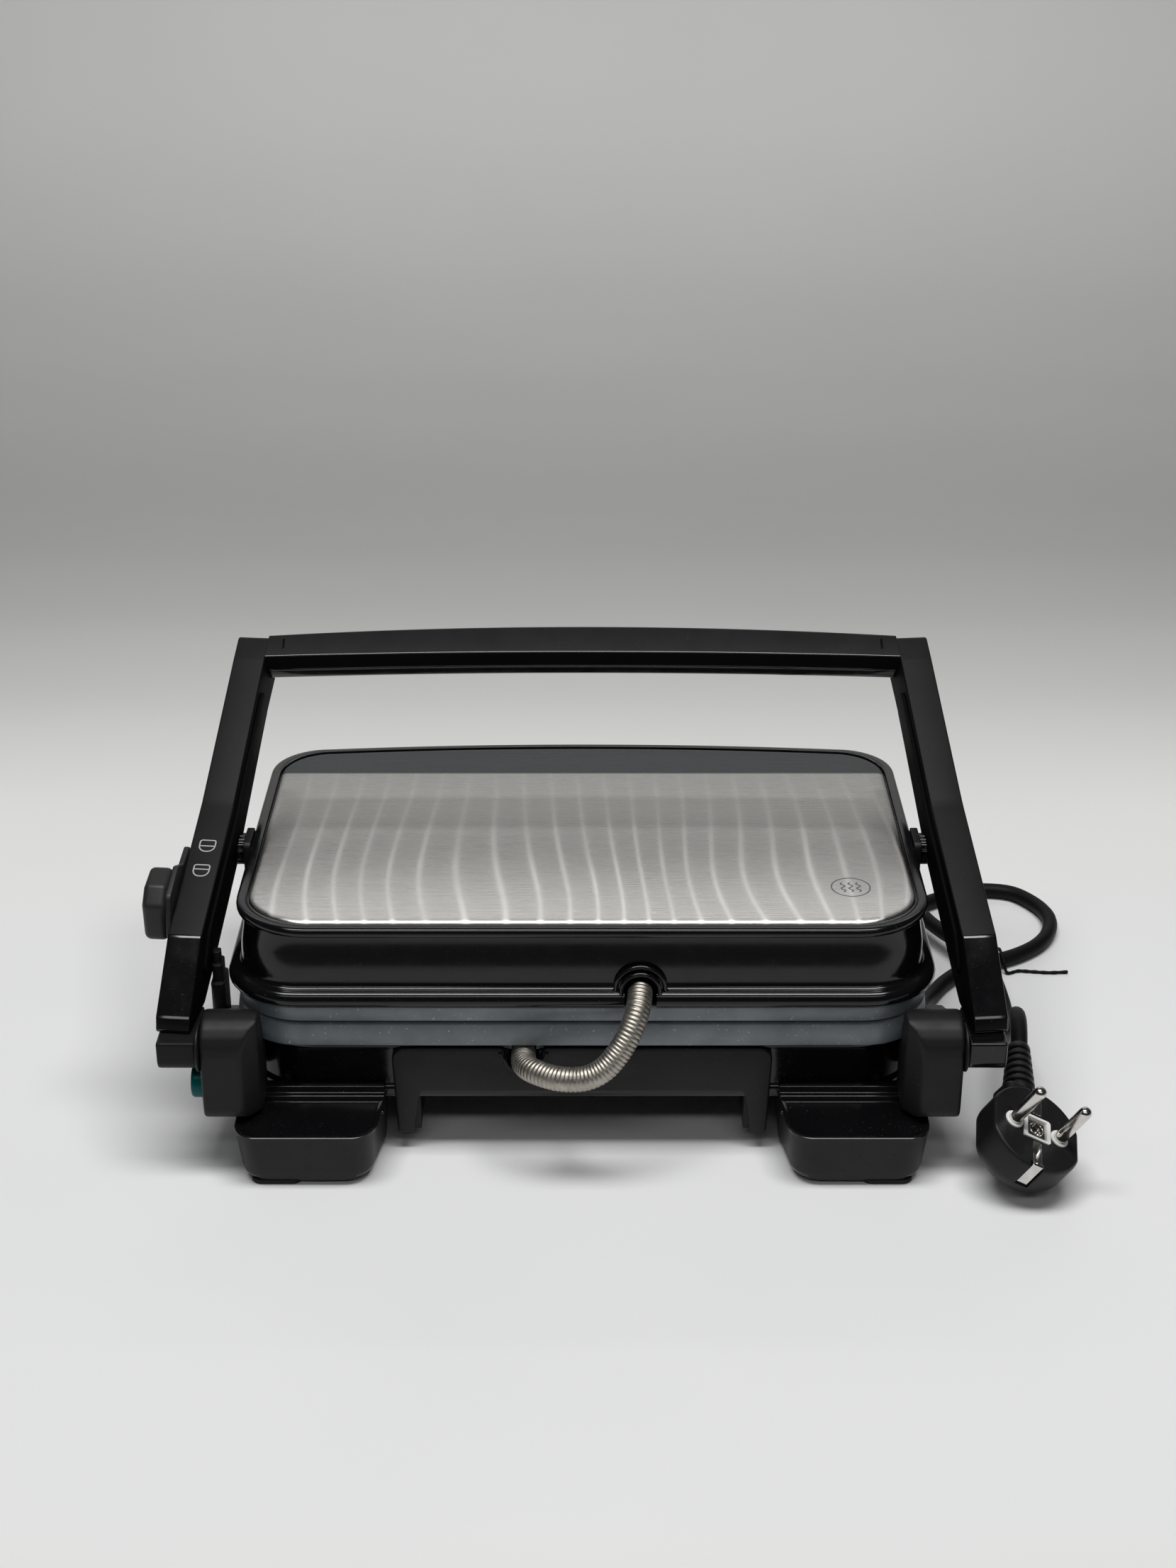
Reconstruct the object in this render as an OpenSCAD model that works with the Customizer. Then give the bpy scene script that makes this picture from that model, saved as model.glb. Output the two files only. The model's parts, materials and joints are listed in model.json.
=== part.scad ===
// Contact grill with floating lid: base, two splayed arms with a handle bar, tilting lid,
// ribbed plates, drip tray, release button, height lever and mains lead.
// +X right as seen from the hinge side, +Y towards the handle side, +Z up, Z = 0 the table.

/* [Base] */
// Half width of the base housing
base_hw = 127.5; // [125:0.5:128]
// Rear wall of the base housing
base_rear = -68; // [-69:0.5:-67]
// Front wall of the base housing
base_front = 92; // [90:0.5:92]
// Lower edge of the base walls
base_z0 = 22; // [22:0.5:24]
// Upper edge of the base walls
base_z1 = 45; // [44:0.5:45.5]
// Wall thickness of the moulded shells
wall = 3; // [2.5:0.5:3.5]
// Height of the rubber pads under the feet
pad_h = 2; // [1.5:0.5:3]
// How far the rear feet reach behind the wall
rear_foot_reach = 28; // [24:1:28]

/* [Plates] */
// Half width of both plates
plate_hw = 130; // [128:0.5:130]
// Underside of the lower plate
lower_z0 = 47; // [46.5:0.5:47.5]
// Rim of the lower plate
lower_z1 = 56.2; // [56:0.1:56.3]
// Rim of the upper plate
upper_z0 = 57; // [56.9:0.1:57.5]
// Top of the upper plate
upper_z1 = 64; // [63:0.5:64]
// Distance between the ribs
rib_pitch = 12; // [10:1:14]

/* [Lid] */
// Half width of the lid's lower rim
rim_hw = 132.5; // [131:0.5:133]
// Half width of the lid's top
lid_hw = 128.5; // [127:0.5:129]
// Top of the lid
lid_z1 = 95; // [93:0.5:96]
// Half width of the steel panel
panel_hw = 124; // [122:0.5:124.5]
// Thickness of the steel panel
panel_t = 1.4; // [1:0.1:2]
// How far the front edges bow out
front_bow = 5; // [0:0.5:7]

/* [Arms] */
// Hinge axis behind the centre
hinge_y = -81; // [-82:0.5:-81]
// Hinge axis above the table
hinge_z = 52; // [51.5:0.5:53]
// Inner face of the arms at the hinge
arm_inner = 142.8; // [142.5:0.1:144]
// Width of an arm
arm_w = 12.8; // [11:0.2:13]
// How far each arm turns in towards the handle
splay = 5.6; // [5:0.1:6]
// Radius of the hinge pins
hinge_pin_r = 4; // [3:0.5:4.5]
// Lid pivot in front of the centre
pivot_y = 4; // [2:0.5:6]
// Lid pivot above the table
pivot_z = 90; // [89:0.5:91]
// Radius of the lid pivots
pivot_r = 3; // [2.5:0.25:3.5]
// Slope of the handle's top face
handle_slope = 27; // [25:0.5:29]

/* [Controls] */
// Radius of the release button
button_r = 6.3; // [5:0.1:6.5]
// Running clearance of a shaft in its hole
run_gap = 0.06; // [0.03:0.01:0.1]
// Gap between sliding flat faces
slide_gap = 0.4; // [0.3:0.1:0.6]

/* [Lead] */
// Diameter of the mains lead
cord_d = 6.5; // [6:0.1:7]
// Diameter of the steel conduit
conduit_d = 9.2; // [8:0.1:9.4]

/* [Hidden] */
$fn = 48;

mid_x = 4;                    // the symmetry plane, so that the lever's overhang balances
eps = 0.01;
rear_r = 28;                  // corner radii of the plan outlines
front_r = 22;
rim_y0 = -74;                 // lid rim, rear and front
rim_y1 = 94;
foot_in = 74.6;               // rear feet, inner and outer side
foot_out = 128;
foot_top = 22;
rail_in = 61;                 // tray rails under the base
rail_out = 69;
tray_z0 = 8.4;
tray_z1 = 20.6;
tray_rear = -22;
recess_z = 49.5;              // floor of the lower plate between its ribs
rib_top = 55.4;
ceiling_z = 61.5;             // the same two heights in the upper plate
rib_low = 57.8;
rib_count = 9;                // ribs each side of the middle one
notch_x = -21.7;              // conduit leaves the base here
notch_z = 41.6;
grommet_x = 21.4;             // and enters the lid here
grommet_z = 70.5;
block_in = 118;               // hinge blocks, inner and outer side
block_out = 139;
block_y = -76;
block_z = 51.5;
block_r = 12;
cheek_front = -34;
button_y = -75;
button_z = 34;
button_tip = 144.2;
eye_in = 140.3;
eye_out = 154.5;
screw_r = 1.5;
gland_from = [134.5, cheek_front, 31];
gland_turn = [-109, 0, -3];
gland_len = 28;

// Side profile of the arms, as [y, z]
arm_profile = [[-81, 57], [-79, 63.5], [-56, 84], [3, 110], [65.5, 144.6], [77, 150.4], [86.6, 131.4],
    [65.5, 121.5], [3, 84.5], [-46, 62], [-58, 57]];
// Near edge of the handle's top face, as [y, z]
handle_near = [66.5, 145.2];
handle_w = 12;
handle_t = 9;
grip_t = 5;
handle_bow = 5.5;

// Routes, as points of the centre line
conduit_route = [[notch_x, -62.8, notch_z], [notch_x, -70, notch_z], [-21.2, -77.5, 42.4], [-17, -84.8, 43.8],
    [-8.6, -90, 44.2], [0.5, -91.6, 45.2], [7.4, -90.8, 48.2], [12.9, -88.4, 53.6], [17.4, -84.6, 60.4],
    [20.4, -78.8, 66.8], [grommet_x, -70, grommet_z], [grommet_x, -63, grommet_z]];
cord_route = [[136, -7.5, 21.9], [136.8, 4, 17.8], [138.8, 15, 12], [141.5, 26, 6.8], [146, 37, 3.8],
    [153, 48.5, 3.4], [163, 59, 3.4], [175, 65.5, 3.4], [187.5, 72, 3.4], [198.5, 81.5, 3.4],
    [205.5, 94, 3.4], [207, 107.5, 3.4], [202, 120.5, 3.4], [192.5, 130, 3.4], [175.5, 131, 3.4],
    [159.5, 122.5, 3.4], [143, 112.5, 3.4], [127, 109, 3.4], [112, 112, 3.4], [101, 121.5, 3.4],
    [95.8, 136, 3.4], [95, 153, 3.4], [95, 171, 3.4], [95, 189, 3.4], [95, 205, 3.4], [95, 220, 3.4],
    [95, 235, 3.4], [101.7, 251.3, 3.4], [118, 258, 3.4], [134.3, 251.3, 3.4], [141, 235, 3.4],
    [141, 220, 3.4], [141, 203, 3.4], [141, 184, 3.4], [141, 165, 3.4], [141, 147, 3.9],
    [142, 130, 7.8], [145, 114, 10.7], [150, 98, 8.6], [157, 83, 8.6], [164, 70, 10.2],
    [169.5, 58, 10.8], [173, 46, 8], [174.8, 34, 4.6], [174.8, 22, 3.7], [173.8, 11, 6],
    [172.6, 0.6, 12.4], [171.6, -9.3, 21.6], [170.7, -19, 28.4], [169.7, -28, 30.9],
    [168.6, -36.5, 30.4], [167.6, -43.3, 28.6]];

// Plug: middle of its body, and how it lies
plug_at = [162, -92, 17.9];
plug_turn = [17, 27, 0];
plug_r = 19;

// ---------- shared shapes ----------

function arc(c, r, a0, a1, n = 6) =
    [for (i = [0:n]) let (a = a0 + (a1 - a0) * i / n) c + r * [cos(a), sin(a)]];

// Plan outline of a plate or lid: round corners and a bowed front edge
function plan(hw, y0, y1, rr = rear_r, rf = front_r, bow = front_bow) = concat(
    arc([-(hw - rr), y0 + rr], rr, 180, 270),
    arc([hw - rr, y0 + rr], rr, 270, 360),
    arc([hw - rf, y1 - bow - rf], rf, 0, 90),
    [for (i = [-4:4]) let (t = i / 5) [-t * (hw - rf), y1 - bow * t * t]],
    arc([-(hw - rf), y1 - bow - rf], rf, 90, 180));

// Rectangle with round corners, as points
function rounded(x0, y0, x1, y1, r) = concat(
    arc([x1 - r, y1 - r], r, 0, 90), arc([x0 + r, y1 - r], r, 90, 180),
    arc([x0 + r, y0 + r], r, 180, 270), arc([x1 - r, y0 + r], r, 270, 360));

module slab(points, z0, z1) translate([0, 0, z0]) linear_extrude(z1 - z0) polygon(points);

module ring(outer, inner, z0, z1) difference() {
    slab(outer, z0, z1);
    slab(inner, z0 - 1, z1 + 1);
}

// Extrudes a [y, z] outline along X
module along_x(points, x0, x1)
    translate([x0, 0, 0]) rotate([90, 0, 90]) linear_extrude(x1 - x0) polygon(points);

// Extrudes an [x, z] outline along Y
module along_y(points, y0, y1)
    translate([0, y1, 0]) rotate([90, 0, 0]) linear_extrude(y1 - y0) polygon(points);

module rod_x(x0, x1, y, z, r) translate([x0, y, z]) rotate([0, 90, 0]) cylinder(h = x1 - x0, r = r);

module rod_y(x, y0, y1, z, r) translate([x, y0, z]) rotate([-90, 0, 0]) cylinder(h = y1 - y0, r = r);

module rod_z(p, z0, z1, r) translate([p[0], p[1], z0]) cylinder(h = z1 - z0, r = r);

// side = 1 is the right-hand side, -1 the left
module on_side(side) mirror([side < 0 ? 1 : 0, 0, 0]) children();

module placed() translate([mid_x, 0, 0]) children();

// Tube along a route: rings stand across the local direction
function unit(v) = v / norm(v);
function curve_at(p, i, t) = let (
    n = len(p), a = i > 0 ? p[i - 1] : 2 * p[0] - p[1], b = p[i], c = p[i + 1],
    d = i + 2 < n ? p[i + 2] : 2 * p[n - 1] - p[n - 2])
    0.5 * (2 * b + (c - a) * t + (2 * a - 5 * b + 4 * c - d) * t * t + (3 * b - a - 3 * c + d) * t * t * t);
function smooth(p, per) = concat(
    [for (i = [0:len(p) - 2], k = [0:per - 1]) curve_at(p, i, k / per)], [p[len(p) - 1]]);
function heading(p, i) = unit(p[min(i + 1, len(p) - 1)] - p[max(i - 1, 0)]);
function tube_ring(c, dir, r, sides) = let (
    u = unit(cross(dir, [0.11, 0.17, 1])), v = cross(dir, u))
    [for (k = [0:sides - 1]) let (a = 360 * k / sides) c + r * (cos(a) * u + sin(a) * v)];

module tube(points, r, sides) {
    n = len(points);
    rings = [for (i = [0:n - 1]) each tube_ring(points[i], heading(points, i), r, sides)];
    walls = [for (i = [0:n - 2], k = [0:sides - 1]) let (j = (k + 1) % sides)
        [i * sides + k, (i + 1) * sides + k, (i + 1) * sides + j, i * sides + j]];
    caps = [[for (k = [0:sides - 1]) k], [for (k = [0:sides - 1]) n * sides - 1 - k]];
    polyhedron(rings, concat(walls, caps), convexity = 10);
}

// ---------- base ----------

foot_plan = rounded(foot_in, base_rear - rear_foot_reach, foot_out, -40, 9);
front_foot_plan = rounded(foot_in, 58, base_hw, base_front - 2, 9);
post_places = [for (x = [-90, 90], y = [-50, 70]) [x, y]];
screw_places = [for (x = [-115, 115], y = [-30, 45]) [x, y]];
lift = 14;                     // height of the side skirts' lower edge

module base_housing() color([0.03, 0.03, 0.035]) difference() {
    union() {
        ring(plan(base_hw, base_rear, base_front),
            plan(base_hw - wall, base_rear + wall, base_front - wall), base_z0, base_z1);
        // Ledge that carries the reflector
        ring(plan(base_hw - 1, base_rear + 1, base_front - 1),
            plan(base_hw - 11, base_rear + 11, base_front - 11), 41, 43.5);
        for (side = [-1, 1]) on_side(side) {
            difference() {
                slab(foot_plan, pad_h, foot_top + 2);
                // The foot's top falls a little towards the rear
                along_x([[-97, foot_top], [base_rear, foot_top + 2], [base_rear, 30], [-97, 30]], 60, 140);
                slab(plan(base_hw - wall, base_rear + wall, base_front - wall), base_z0 - eps, 50);
            }
            difference() {
                slab(front_foot_plan, pad_h, base_z0 + 1);
                slab(plan(base_hw - wall, base_rear + wall, base_front - wall), base_z0 - eps, 50);
            }
            translate([120, -41, lift]) cube([base_hw - 120, 100, base_z0 - lift]);
            translate([base_hw - wall + 0.1, -41, base_z0 - 1]) cube([wall - 0.1, 100, 2]);
        }
        for (p = screw_places) rod_z(p, base_z0 + 2.6, 42, 4.5);
    }
    for (p = screw_places) rod_z(p, base_z0, 38, screw_r + 0.1);
    // Notch for the conduit
    rod_y(notch_x, base_rear - 2, base_rear + wall + 12, notch_z, conduit_d / 2 + 1.2);
    translate([notch_x - conduit_d / 2 - 1.2, base_rear - 2, notch_z])
        cube([conduit_d + 2.4, wall + 14, 5]);
    for (x = [-14, 14]) rod_y(x, base_front - 5, base_front + 1, 34, 3);
}

module base_bottom_cover() color([0.05, 0.05, 0.055]) difference() {
    union() {
        slab(plan(base_hw - wall - 0.2, base_rear + wall + 0.2, base_front - wall - 0.2), base_z0, base_z0 + 2.4);
        for (side = [-1, 1]) on_side(side) {
            translate([rail_in, base_rear + wall + 0.2, 6]) cube([rail_out - rail_in, 150, base_z0 + eps - 6]);
            translate([rail_in - 5, tray_rear - 4, 6]) cube([5 + eps, 110, tray_z0 - 6 - 0.2]);
            translate([rail_in - 5, tray_rear - 8, 6]) cube([5 + eps, 4 + eps, base_z0 + eps - 6]);
        }
    }
    for (p = screw_places) rod_z(p, base_z0 - 1, base_z0 + 4, screw_r + 0.3);
}

module base_screws() color([0.7, 0.7, 0.72]) for (p = screw_places) {
    rod_z(p, base_z0 - 1.8, base_z0, 3.2);
    rod_z(p, base_z0 - eps, 36, screw_r);
}

module foot_pads() color([0.12, 0.12, 0.12]) for (side = [-1, 1]) on_side(side) {
    slab(rounded(103.5, -93, 122.5, -74, 4), 0, pad_h);
    slab(rounded(94, 64, 113, 83, 4), 0, pad_h);
}

module plate_posts() color([0.6, 0.6, 0.62]) for (p = post_places) difference() {
    rod_z(p, base_z0 + 2.4, lower_z0 - 2, 4);
    rod_z(p, 36, 50, screw_r);
}

module rib(x, z_foot, z_top, y0, y1)
    along_y([[x - 3, z_foot], [x + 3, z_foot], [x + 1.2, z_top], [x - 1.2, z_top]], y0, y1);

module lower_plate() color([0.2, 0.23, 0.25]) difference() {
    union() {
        difference() {
            union() {
                slab(plan(plate_hw, -72.5, 92.5, 27, 21), lower_z0, lower_z1 - 1);
                slab(plan(plate_hw - 1, -71.5, 91.5, 26, 20), lower_z1 - 1 - eps, lower_z1);
                slab(plan(118, -61, 81, 18, 14), lower_z0 - 2, lower_z0 + eps);
            }
            slab(plan(122, -64.5, 84.5, 20, 16), recess_z, 60);
            // Grease spout through the front rim
            translate([-9, 70, recess_z]) cube([18, 30, 10]);
        }
        for (i = [-rib_count:rib_count]) rib(i * rib_pitch + (i == 0 ? eps : 0), recess_z - 0.5, rib_top, -60, 66);
    }
    for (p = post_places) rod_z(p, lower_z0 - 3, 60, screw_r + 0.2);
}

module lower_plate_screws() color([0.7, 0.7, 0.72]) for (p = post_places) {
    rod_z(p, recess_z, recess_z + 1.6, 2.8);
    rod_z(p, 38, recess_z + eps, screw_r);
}

module lower_reflector() color([0.75, 0.75, 0.76]) difference() {
    union() {
        slab(plan(120, -62, 84, 20, 16), 43.5, 45);
        slab(plan(109.5, -56, 78, 24, 18), 33, 44);
    }
    slab(plan(108.7, -55.2, 77.2, 23.2, 17.2), 33.8, 46);
    for (p = post_places) rod_z(p, 30, 50, 4.3);
}

// Heating element: two long rods joined by a half turn, with cold ends at the right
module element(z) {
    for (y = [-26, 48]) rod_x(-58, 100, y, z, 3.2);
    translate([-58, 11, z]) rotate([0, 0, 90]) rotate_extrude(angle = 180) translate([37, 0]) circle(3.2);
    for (y = [-26, 48]) rod_x(100, 106, y, z, 1.2);
}

module lower_element() color([0.35, 0.33, 0.32]) element(40.6);

module thermostat() color([0.8, 0.78, 0.7]) {
    rod_z([0, 11], 34, 43, 8);
    rod_z([0, 11], 43 - eps, 45, 4);
    translate([-12, 5, 34]) cube([24, 12, 2.5]);
}

module terminal_block() color([0.9, 0.9, 0.86]) difference() {
    translate([54, -50, base_z0 + 2.4]) cube([28, 12, 7.6]);
    for (x = [59, 68, 77]) rod_z([x, -44], base_z0 + 5, 40, 1.6);
}

// Hinge block: a half-round top about its own axis, cut round the plates' corner
block_profile = concat(arc([block_y, block_z], block_r, 0, 180, 10),
    arc([block_y - block_r + 4, 28.5], 4, 180, 270), [[block_y + block_r, 24.5]]);
cheek_profile = [[block_y, 24.5], [cheek_front, 24.5], [cheek_front, 42], [-52, 50], [block_y, 50]];

module hinge_block(side) difference() {
    on_side(side) difference() {
        union() {
            along_x(block_profile, block_in, block_out);
            along_x(cheek_profile, 128.8, block_out);
        }
        slab(plan(base_hw + 0.3, base_rear - 0.3, base_front), 20, 46.2);
        slab(plan(plate_hw + 1.2, -73.6, 94), 46, 56.8);
        slab(plan(plate_hw + 3, -75.6, 96), 56.5, 80);
        rod_x(126, 160, hinge_y, hinge_z, hinge_pin_r);
    }
    if (side < 0) {
        rod_x(-block_out - 1, -133, button_y, button_z, button_r + run_gap);
        rod_x(-133.1, -129.5, button_y, button_z, 3);
    }
}

module hinge_block_left() color([0.13, 0.13, 0.14]) hinge_block(-1);
module hinge_block_right() color([0.13, 0.13, 0.14]) hinge_block(1);

module hinge_pin(side) on_side(side) rod_x(126, eye_out - 2, hinge_y, hinge_z, hinge_pin_r);
module hinge_pin_left() color([0.7, 0.7, 0.72]) hinge_pin(-1);
module hinge_pin_right() color([0.7, 0.7, 0.72]) hinge_pin(1);

// Stepped post on the left cheek that the height lever's latch rests on
module latch_post() color([0.08, 0.08, 0.09]) difference() {
    union() {
        slab(rounded(-139, -53, -133.8, -40, 1.5), 42, 62);
        slab(rounded(-138.4, -51.5, -134.4, -43, 1.5), 62 - eps, 69);
        slab(rounded(-137.8, -50, -135, -46, 1), 69 - eps, 74);
    }
    along_x(cheek_profile, -block_out - 1, -125);
}

module lamp(x) {
    rod_y(x, base_front - 4, base_front + 0.4, 34, 2.9);
    translate([x, base_front - 0.2, 34]) rotate([-90, 0, 0]) cylinder(h = 1.8, r1 = 2.9, r2 = 1.6, $fn = 32);
}
module power_lamp() color([0.8, 0.1, 0.08]) lamp(-14);
module ready_lamp() color([0.1, 0.7, 0.2]) lamp(14);

// Moulded strain relief on the front of the right cheek
module cord_gland() color([0.06, 0.06, 0.06]) difference() {
    translate(gland_from) rotate(gland_turn) {
        translate([0, 0, -4]) cylinder(h = 8, r = 5.4);
        cylinder(h = gland_len, r1 = 5.2, r2 = 3.9);
    }
    along_x(cheek_profile, 120, block_out);
}

module drip_tray() color([0.08, 0.08, 0.085]) difference() {
    union() {
        translate([-(rail_in - slide_gap), tray_rear, tray_z0])
            cube([2 * (rail_in - slide_gap), 92.6 - tray_rear, tray_z1 - tray_z0]);
        slab(rounded(-66, 92.4, 66, 96, 1.5), 7, base_z0 - 0.6);
    }
    translate([-(rail_in - 3), tray_rear + 2.4, tray_z0 + 2]) cube([2 * (rail_in - 3), 88 - tray_rear, 20]);
    // Finger scoop in the front face
    translate([-22, 95, 10]) cube([44, 3, 8]);
}

// ---------- arms ----------

// Puts an arm's own frame (inner face at x = 0, hinge at y = 0) in place
module in_arm(side) on_side(side) translate([arm_inner, hinge_y, 0]) rotate([0, 0, splay])
    translate([0, -hinge_y, 0]) children();

module arm(side) difference() {
    in_arm(side) along_x(arm_profile, 0, arm_w);
    on_side(side) {
        rod_x(120, 139.5, pivot_y, pivot_z, pivot_r);
        handle_screw_holes(screw_r);
    }
}
module arm_left() color([0.12, 0.12, 0.125]) arm(-1);
module arm_right() color([0.12, 0.12, 0.125]) arm(1);

// Inner strip along the lower half of each arm
liner_profile = [[-40, 67], [3, 87.5], [58, 120], [60, 126], [3, 98], [-40, 79]];
module arm_liner(side) difference() {
    in_arm(side) along_x(liner_profile, -2.4, 0);
    on_side(side) rod_x(120, 145, pivot_y, pivot_z, pivot_r);
}
module arm_liner_left() color([0.05, 0.05, 0.05]) arm_liner(-1);
module arm_liner_right() color([0.05, 0.05, 0.05]) arm_liner(1);

eye_profile = concat(arc([-83, 49], 4, 180, 270, 4), arc([-66, 49], 4, 270, 340, 4), [[-60, 57], [-87, 57]]);
module hinge_eye(side) difference() {
    on_side(side) along_x(eye_profile, eye_in, eye_out);
    on_side(side) rod_x(eye_in - 1, eye_out - 1.9, hinge_y, hinge_z, hinge_pin_r + run_gap);
}
module hinge_eye_left() color([0.16, 0.16, 0.165]) hinge_eye(-1);
module hinge_eye_right() color([0.07, 0.07, 0.075]) hinge_eye(1);

module pivot_pin(side) on_side(side) rod_x(128.8, 139.5, pivot_y, pivot_z, pivot_r);
module pivot_pin_left() color([0.75, 0.75, 0.76]) pivot_pin(-1);
module pivot_pin_right() color([0.75, 0.75, 0.76]) pivot_pin(1);

// Bowed bar in the plane of the handle's top face, from depth t0 to t1 below it
handle_half = 129;
handle_bar_plan = concat(
    [for (i = [-8:8]) let (t = i / 8) [t * handle_half, handle_bow * (1 - t * t)]],
    [for (i = [8:-1:-8]) let (t = i / 8) [t * handle_half, handle_w + handle_bow * (1 - t * t)]]);
module handle_band(t0, t1, inset = 0)
    translate([0, handle_near[0], handle_near[1]]) rotate([handle_slope, 0, 0])
    translate([0, 0, -t1]) linear_extrude(t1 - t0) intersection() {
        translate([0, inset]) polygon(handle_bar_plan);
        translate([0, -inset]) polygon(handle_bar_plan);
    }
// Room between the two arms' inner faces
module between_arms() {
    tan_splay = tan(splay);
    x_at = [for (y = [50, 100]) arm_inner - (y - hinge_y) * tan_splay];
    slab([[-x_at[0], 50], [x_at[0], 50], [x_at[1], 100], [-x_at[1], 100]], 100, 180);
}
module handle_screw_holes(r) for (s = [4.5, 9])
    translate([0, handle_near[0], handle_near[1]]) rotate([handle_slope, 0, 0])
    rod_x(116, 138, s, -4.5 - (s - 4.5) * 0.2, r);

module handle_bar() color([0.12, 0.12, 0.125]) difference() {
    intersection() {
        handle_band(0, handle_t);
        between_arms();
    }
    for (side = [-1, 1]) on_side(side) handle_screw_holes(screw_r);
}
module handle_grip() color([0.03, 0.03, 0.035]) intersection() {
    handle_band(handle_t, handle_t + grip_t, 0.8);
    between_arms();
}
module handle_screws() color([0.7, 0.7, 0.72]) for (side = [-1, 1]) on_side(side) handle_screw_holes(screw_r);

// Height lever: plate with a pointer stem on the left arm, and a thumb knob
lever_plate = [[-50, 77], [-30, 87], [-13, 94], [-16, 101], [-26, 98], [-33, 101], [-47, 95]];
lever_knob = [[-47, 77.5], [-42, 75.5], [-31, 95], [-33, 101], [-44, 98], [-49, 92]];
module lock_lever() color([0.42, 0.43, 0.44]) in_arm(-1) {
    along_x(lever_plate, arm_w + slide_gap, arm_w + slide_gap + 2);
    along_x(lever_knob, arm_w + slide_gap + 2 - eps, arm_w + 11.4);
}

module release_button() color([0.05, 0.5, 0.47]) {
    rod_x(-button_tip, -137, button_y, button_z, button_r);
}
module release_spring() color([0.7, 0.7, 0.72]) difference() {
    rod_x(-136.9, -133.1, button_y, button_z, 4);
    rod_x(-137.5, -132.5, button_y, button_z, 3);
}

// ---------- lid ----------

module lid_housing() color([0.03, 0.03, 0.035]) difference() {
    union() {
        slab(plan(rim_hw, rim_y0, rim_y1), upper_z1 + 0.4, 68);
        slab(plan(rim_hw - 1.5, rim_y0 + 1.5, rim_y1 - 1.5), 68 - eps, 70);
        slab(plan(rim_hw - 5, rim_y0 + 5, rim_y1 - 4), 70 - eps, 91);
        slab(plan(lid_hw, rim_y0 + 3.2, rim_y1 - 2), 91 - eps, lid_z1);
    }
    difference() {
        slab(plan(rim_hw - 5 - wall, rim_y0 + 5 + wall, rim_y1 - 4 - wall), upper_z1 - 1, 91);
        for (p = post_places) rod_z(p, upper_z1 + 2, 92, 4);
    }
    for (p = post_places) rod_z(p, 60, 76, screw_r + 0.1);
    slab(plan(panel_hw + 0.5, -65.5, 87.5, 24.5, 20.5), lid_z1 - panel_t - 0.2, lid_z1 + 1);
    rod_y(grommet_x, rim_y0 - 2, -60, grommet_z, conduit_d / 2 + 0.8);
    translate([grommet_x - conduit_d / 2 - 0.8, rim_y0 - 2, 60]) cube([conduit_d + 1.6, 16, grommet_z - 60]);
}

module lid_panel() color([0.75, 0.74, 0.72])
    slab(plan(panel_hw, -65, 87, 24, 20), lid_z1 - panel_t - 0.2, lid_z1 - 0.2);

module pivot_block(side) difference() {
    on_side(side) along_x(rounded(pivot_y - 8, pivot_z - 7, pivot_y + 8, pivot_z + 6, 2.5), 127.5, 131.2);
    on_side(side) rod_x(120, 140, pivot_y, pivot_z, pivot_r + run_gap);
    // The block ends where the lid's frame overhangs
    slab(plan(lid_hw, rim_y0 + 3.2, rim_y1 - 2), 91 - eps, lid_z1 + 1);
}
module pivot_block_left() color([0.1, 0.1, 0.1]) pivot_block(-1);
module pivot_block_right() color([0.1, 0.1, 0.1]) pivot_block(1);

module upper_plate() color([0.2, 0.23, 0.25]) difference() {
    union() {
        difference() {
            union() {
                slab(plan(plate_hw - 1, -71.5, 91.5, 26, 20), upper_z0, upper_z0 + 1 + eps);
                slab(plan(plate_hw, -72.5, 92.5, 27, 21), upper_z0 + 1, upper_z1);
                slab(plan(118, -61, 81, 18, 14), upper_z1 - eps, upper_z1 + 2);
            }
            slab(plan(122, -64.5, 84.5, 20, 16), 50, ceiling_z);
        }
        for (i = [-rib_count:rib_count]) rib(i * rib_pitch, ceiling_z + 0.5, rib_low, -60, 76);
    }
    for (p = post_places) rod_z(p, 50, upper_z1 + 3, screw_r + 0.2);
}

module upper_plate_screws() color([0.7, 0.7, 0.72]) for (p = post_places) {
    rod_z(p, ceiling_z - 1.6, ceiling_z, 2.8);
    rod_z(p, ceiling_z - eps, 72, screw_r);
}

module upper_reflector() color([0.75, 0.75, 0.76]) difference() {
    union() {
        slab(plan(119, -61, 82, 20, 16), upper_z1 + 2, upper_z1 + 3.5);
        slab(plan(112, -55, 76, 16, 12), upper_z1 + 3, 77);
    }
    slab(plan(111.2, -54.2, 75.2, 15, 11), upper_z1 + 1, 76.2);
    for (p = post_places) rod_z(p, 60, 80, 4.3);
}

module upper_element() color([0.35, 0.33, 0.32]) element(70.5);

module thermal_cutout() color([0.85, 0.83, 0.75]) translate([-20, 2, 66]) cube([26, 14, 4]);

module conduit_grommet() color([0.03, 0.03, 0.03]) difference() {
    rod_y(grommet_x, rim_y0 + 0.6, rim_y0 + 6, grommet_z, 8.2);
    rod_y(grommet_x, -80, -60, grommet_z, conduit_d / 2 + 0.8);
    translate([grommet_x - 12, -80, 60]) cube([24, 20, 64.6 - 60]);
    slab(plan(rim_hw, rim_y0, rim_y1), upper_z1, 68);
    slab(plan(rim_hw - 1.5, rim_y0 + 1.5, rim_y1 - 1.5), 67, 70);
    slab(plan(rim_hw - 5, rim_y0 + 5, rim_y1 - 4), 69, 91);
}

module flex_conduit() color([0.7, 0.7, 0.72]) tube(smooth(conduit_route, 3), conduit_d / 2, 16);

// ---------- mains lead ----------

module power_cord() color([0.05, 0.05, 0.055]) tube(cord_route, cord_d / 2, 12);

// The plug's own frame: Z along the pins, Y away from the lead
module in_plug() translate(plug_at) rotate(plug_turn) children();

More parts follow.
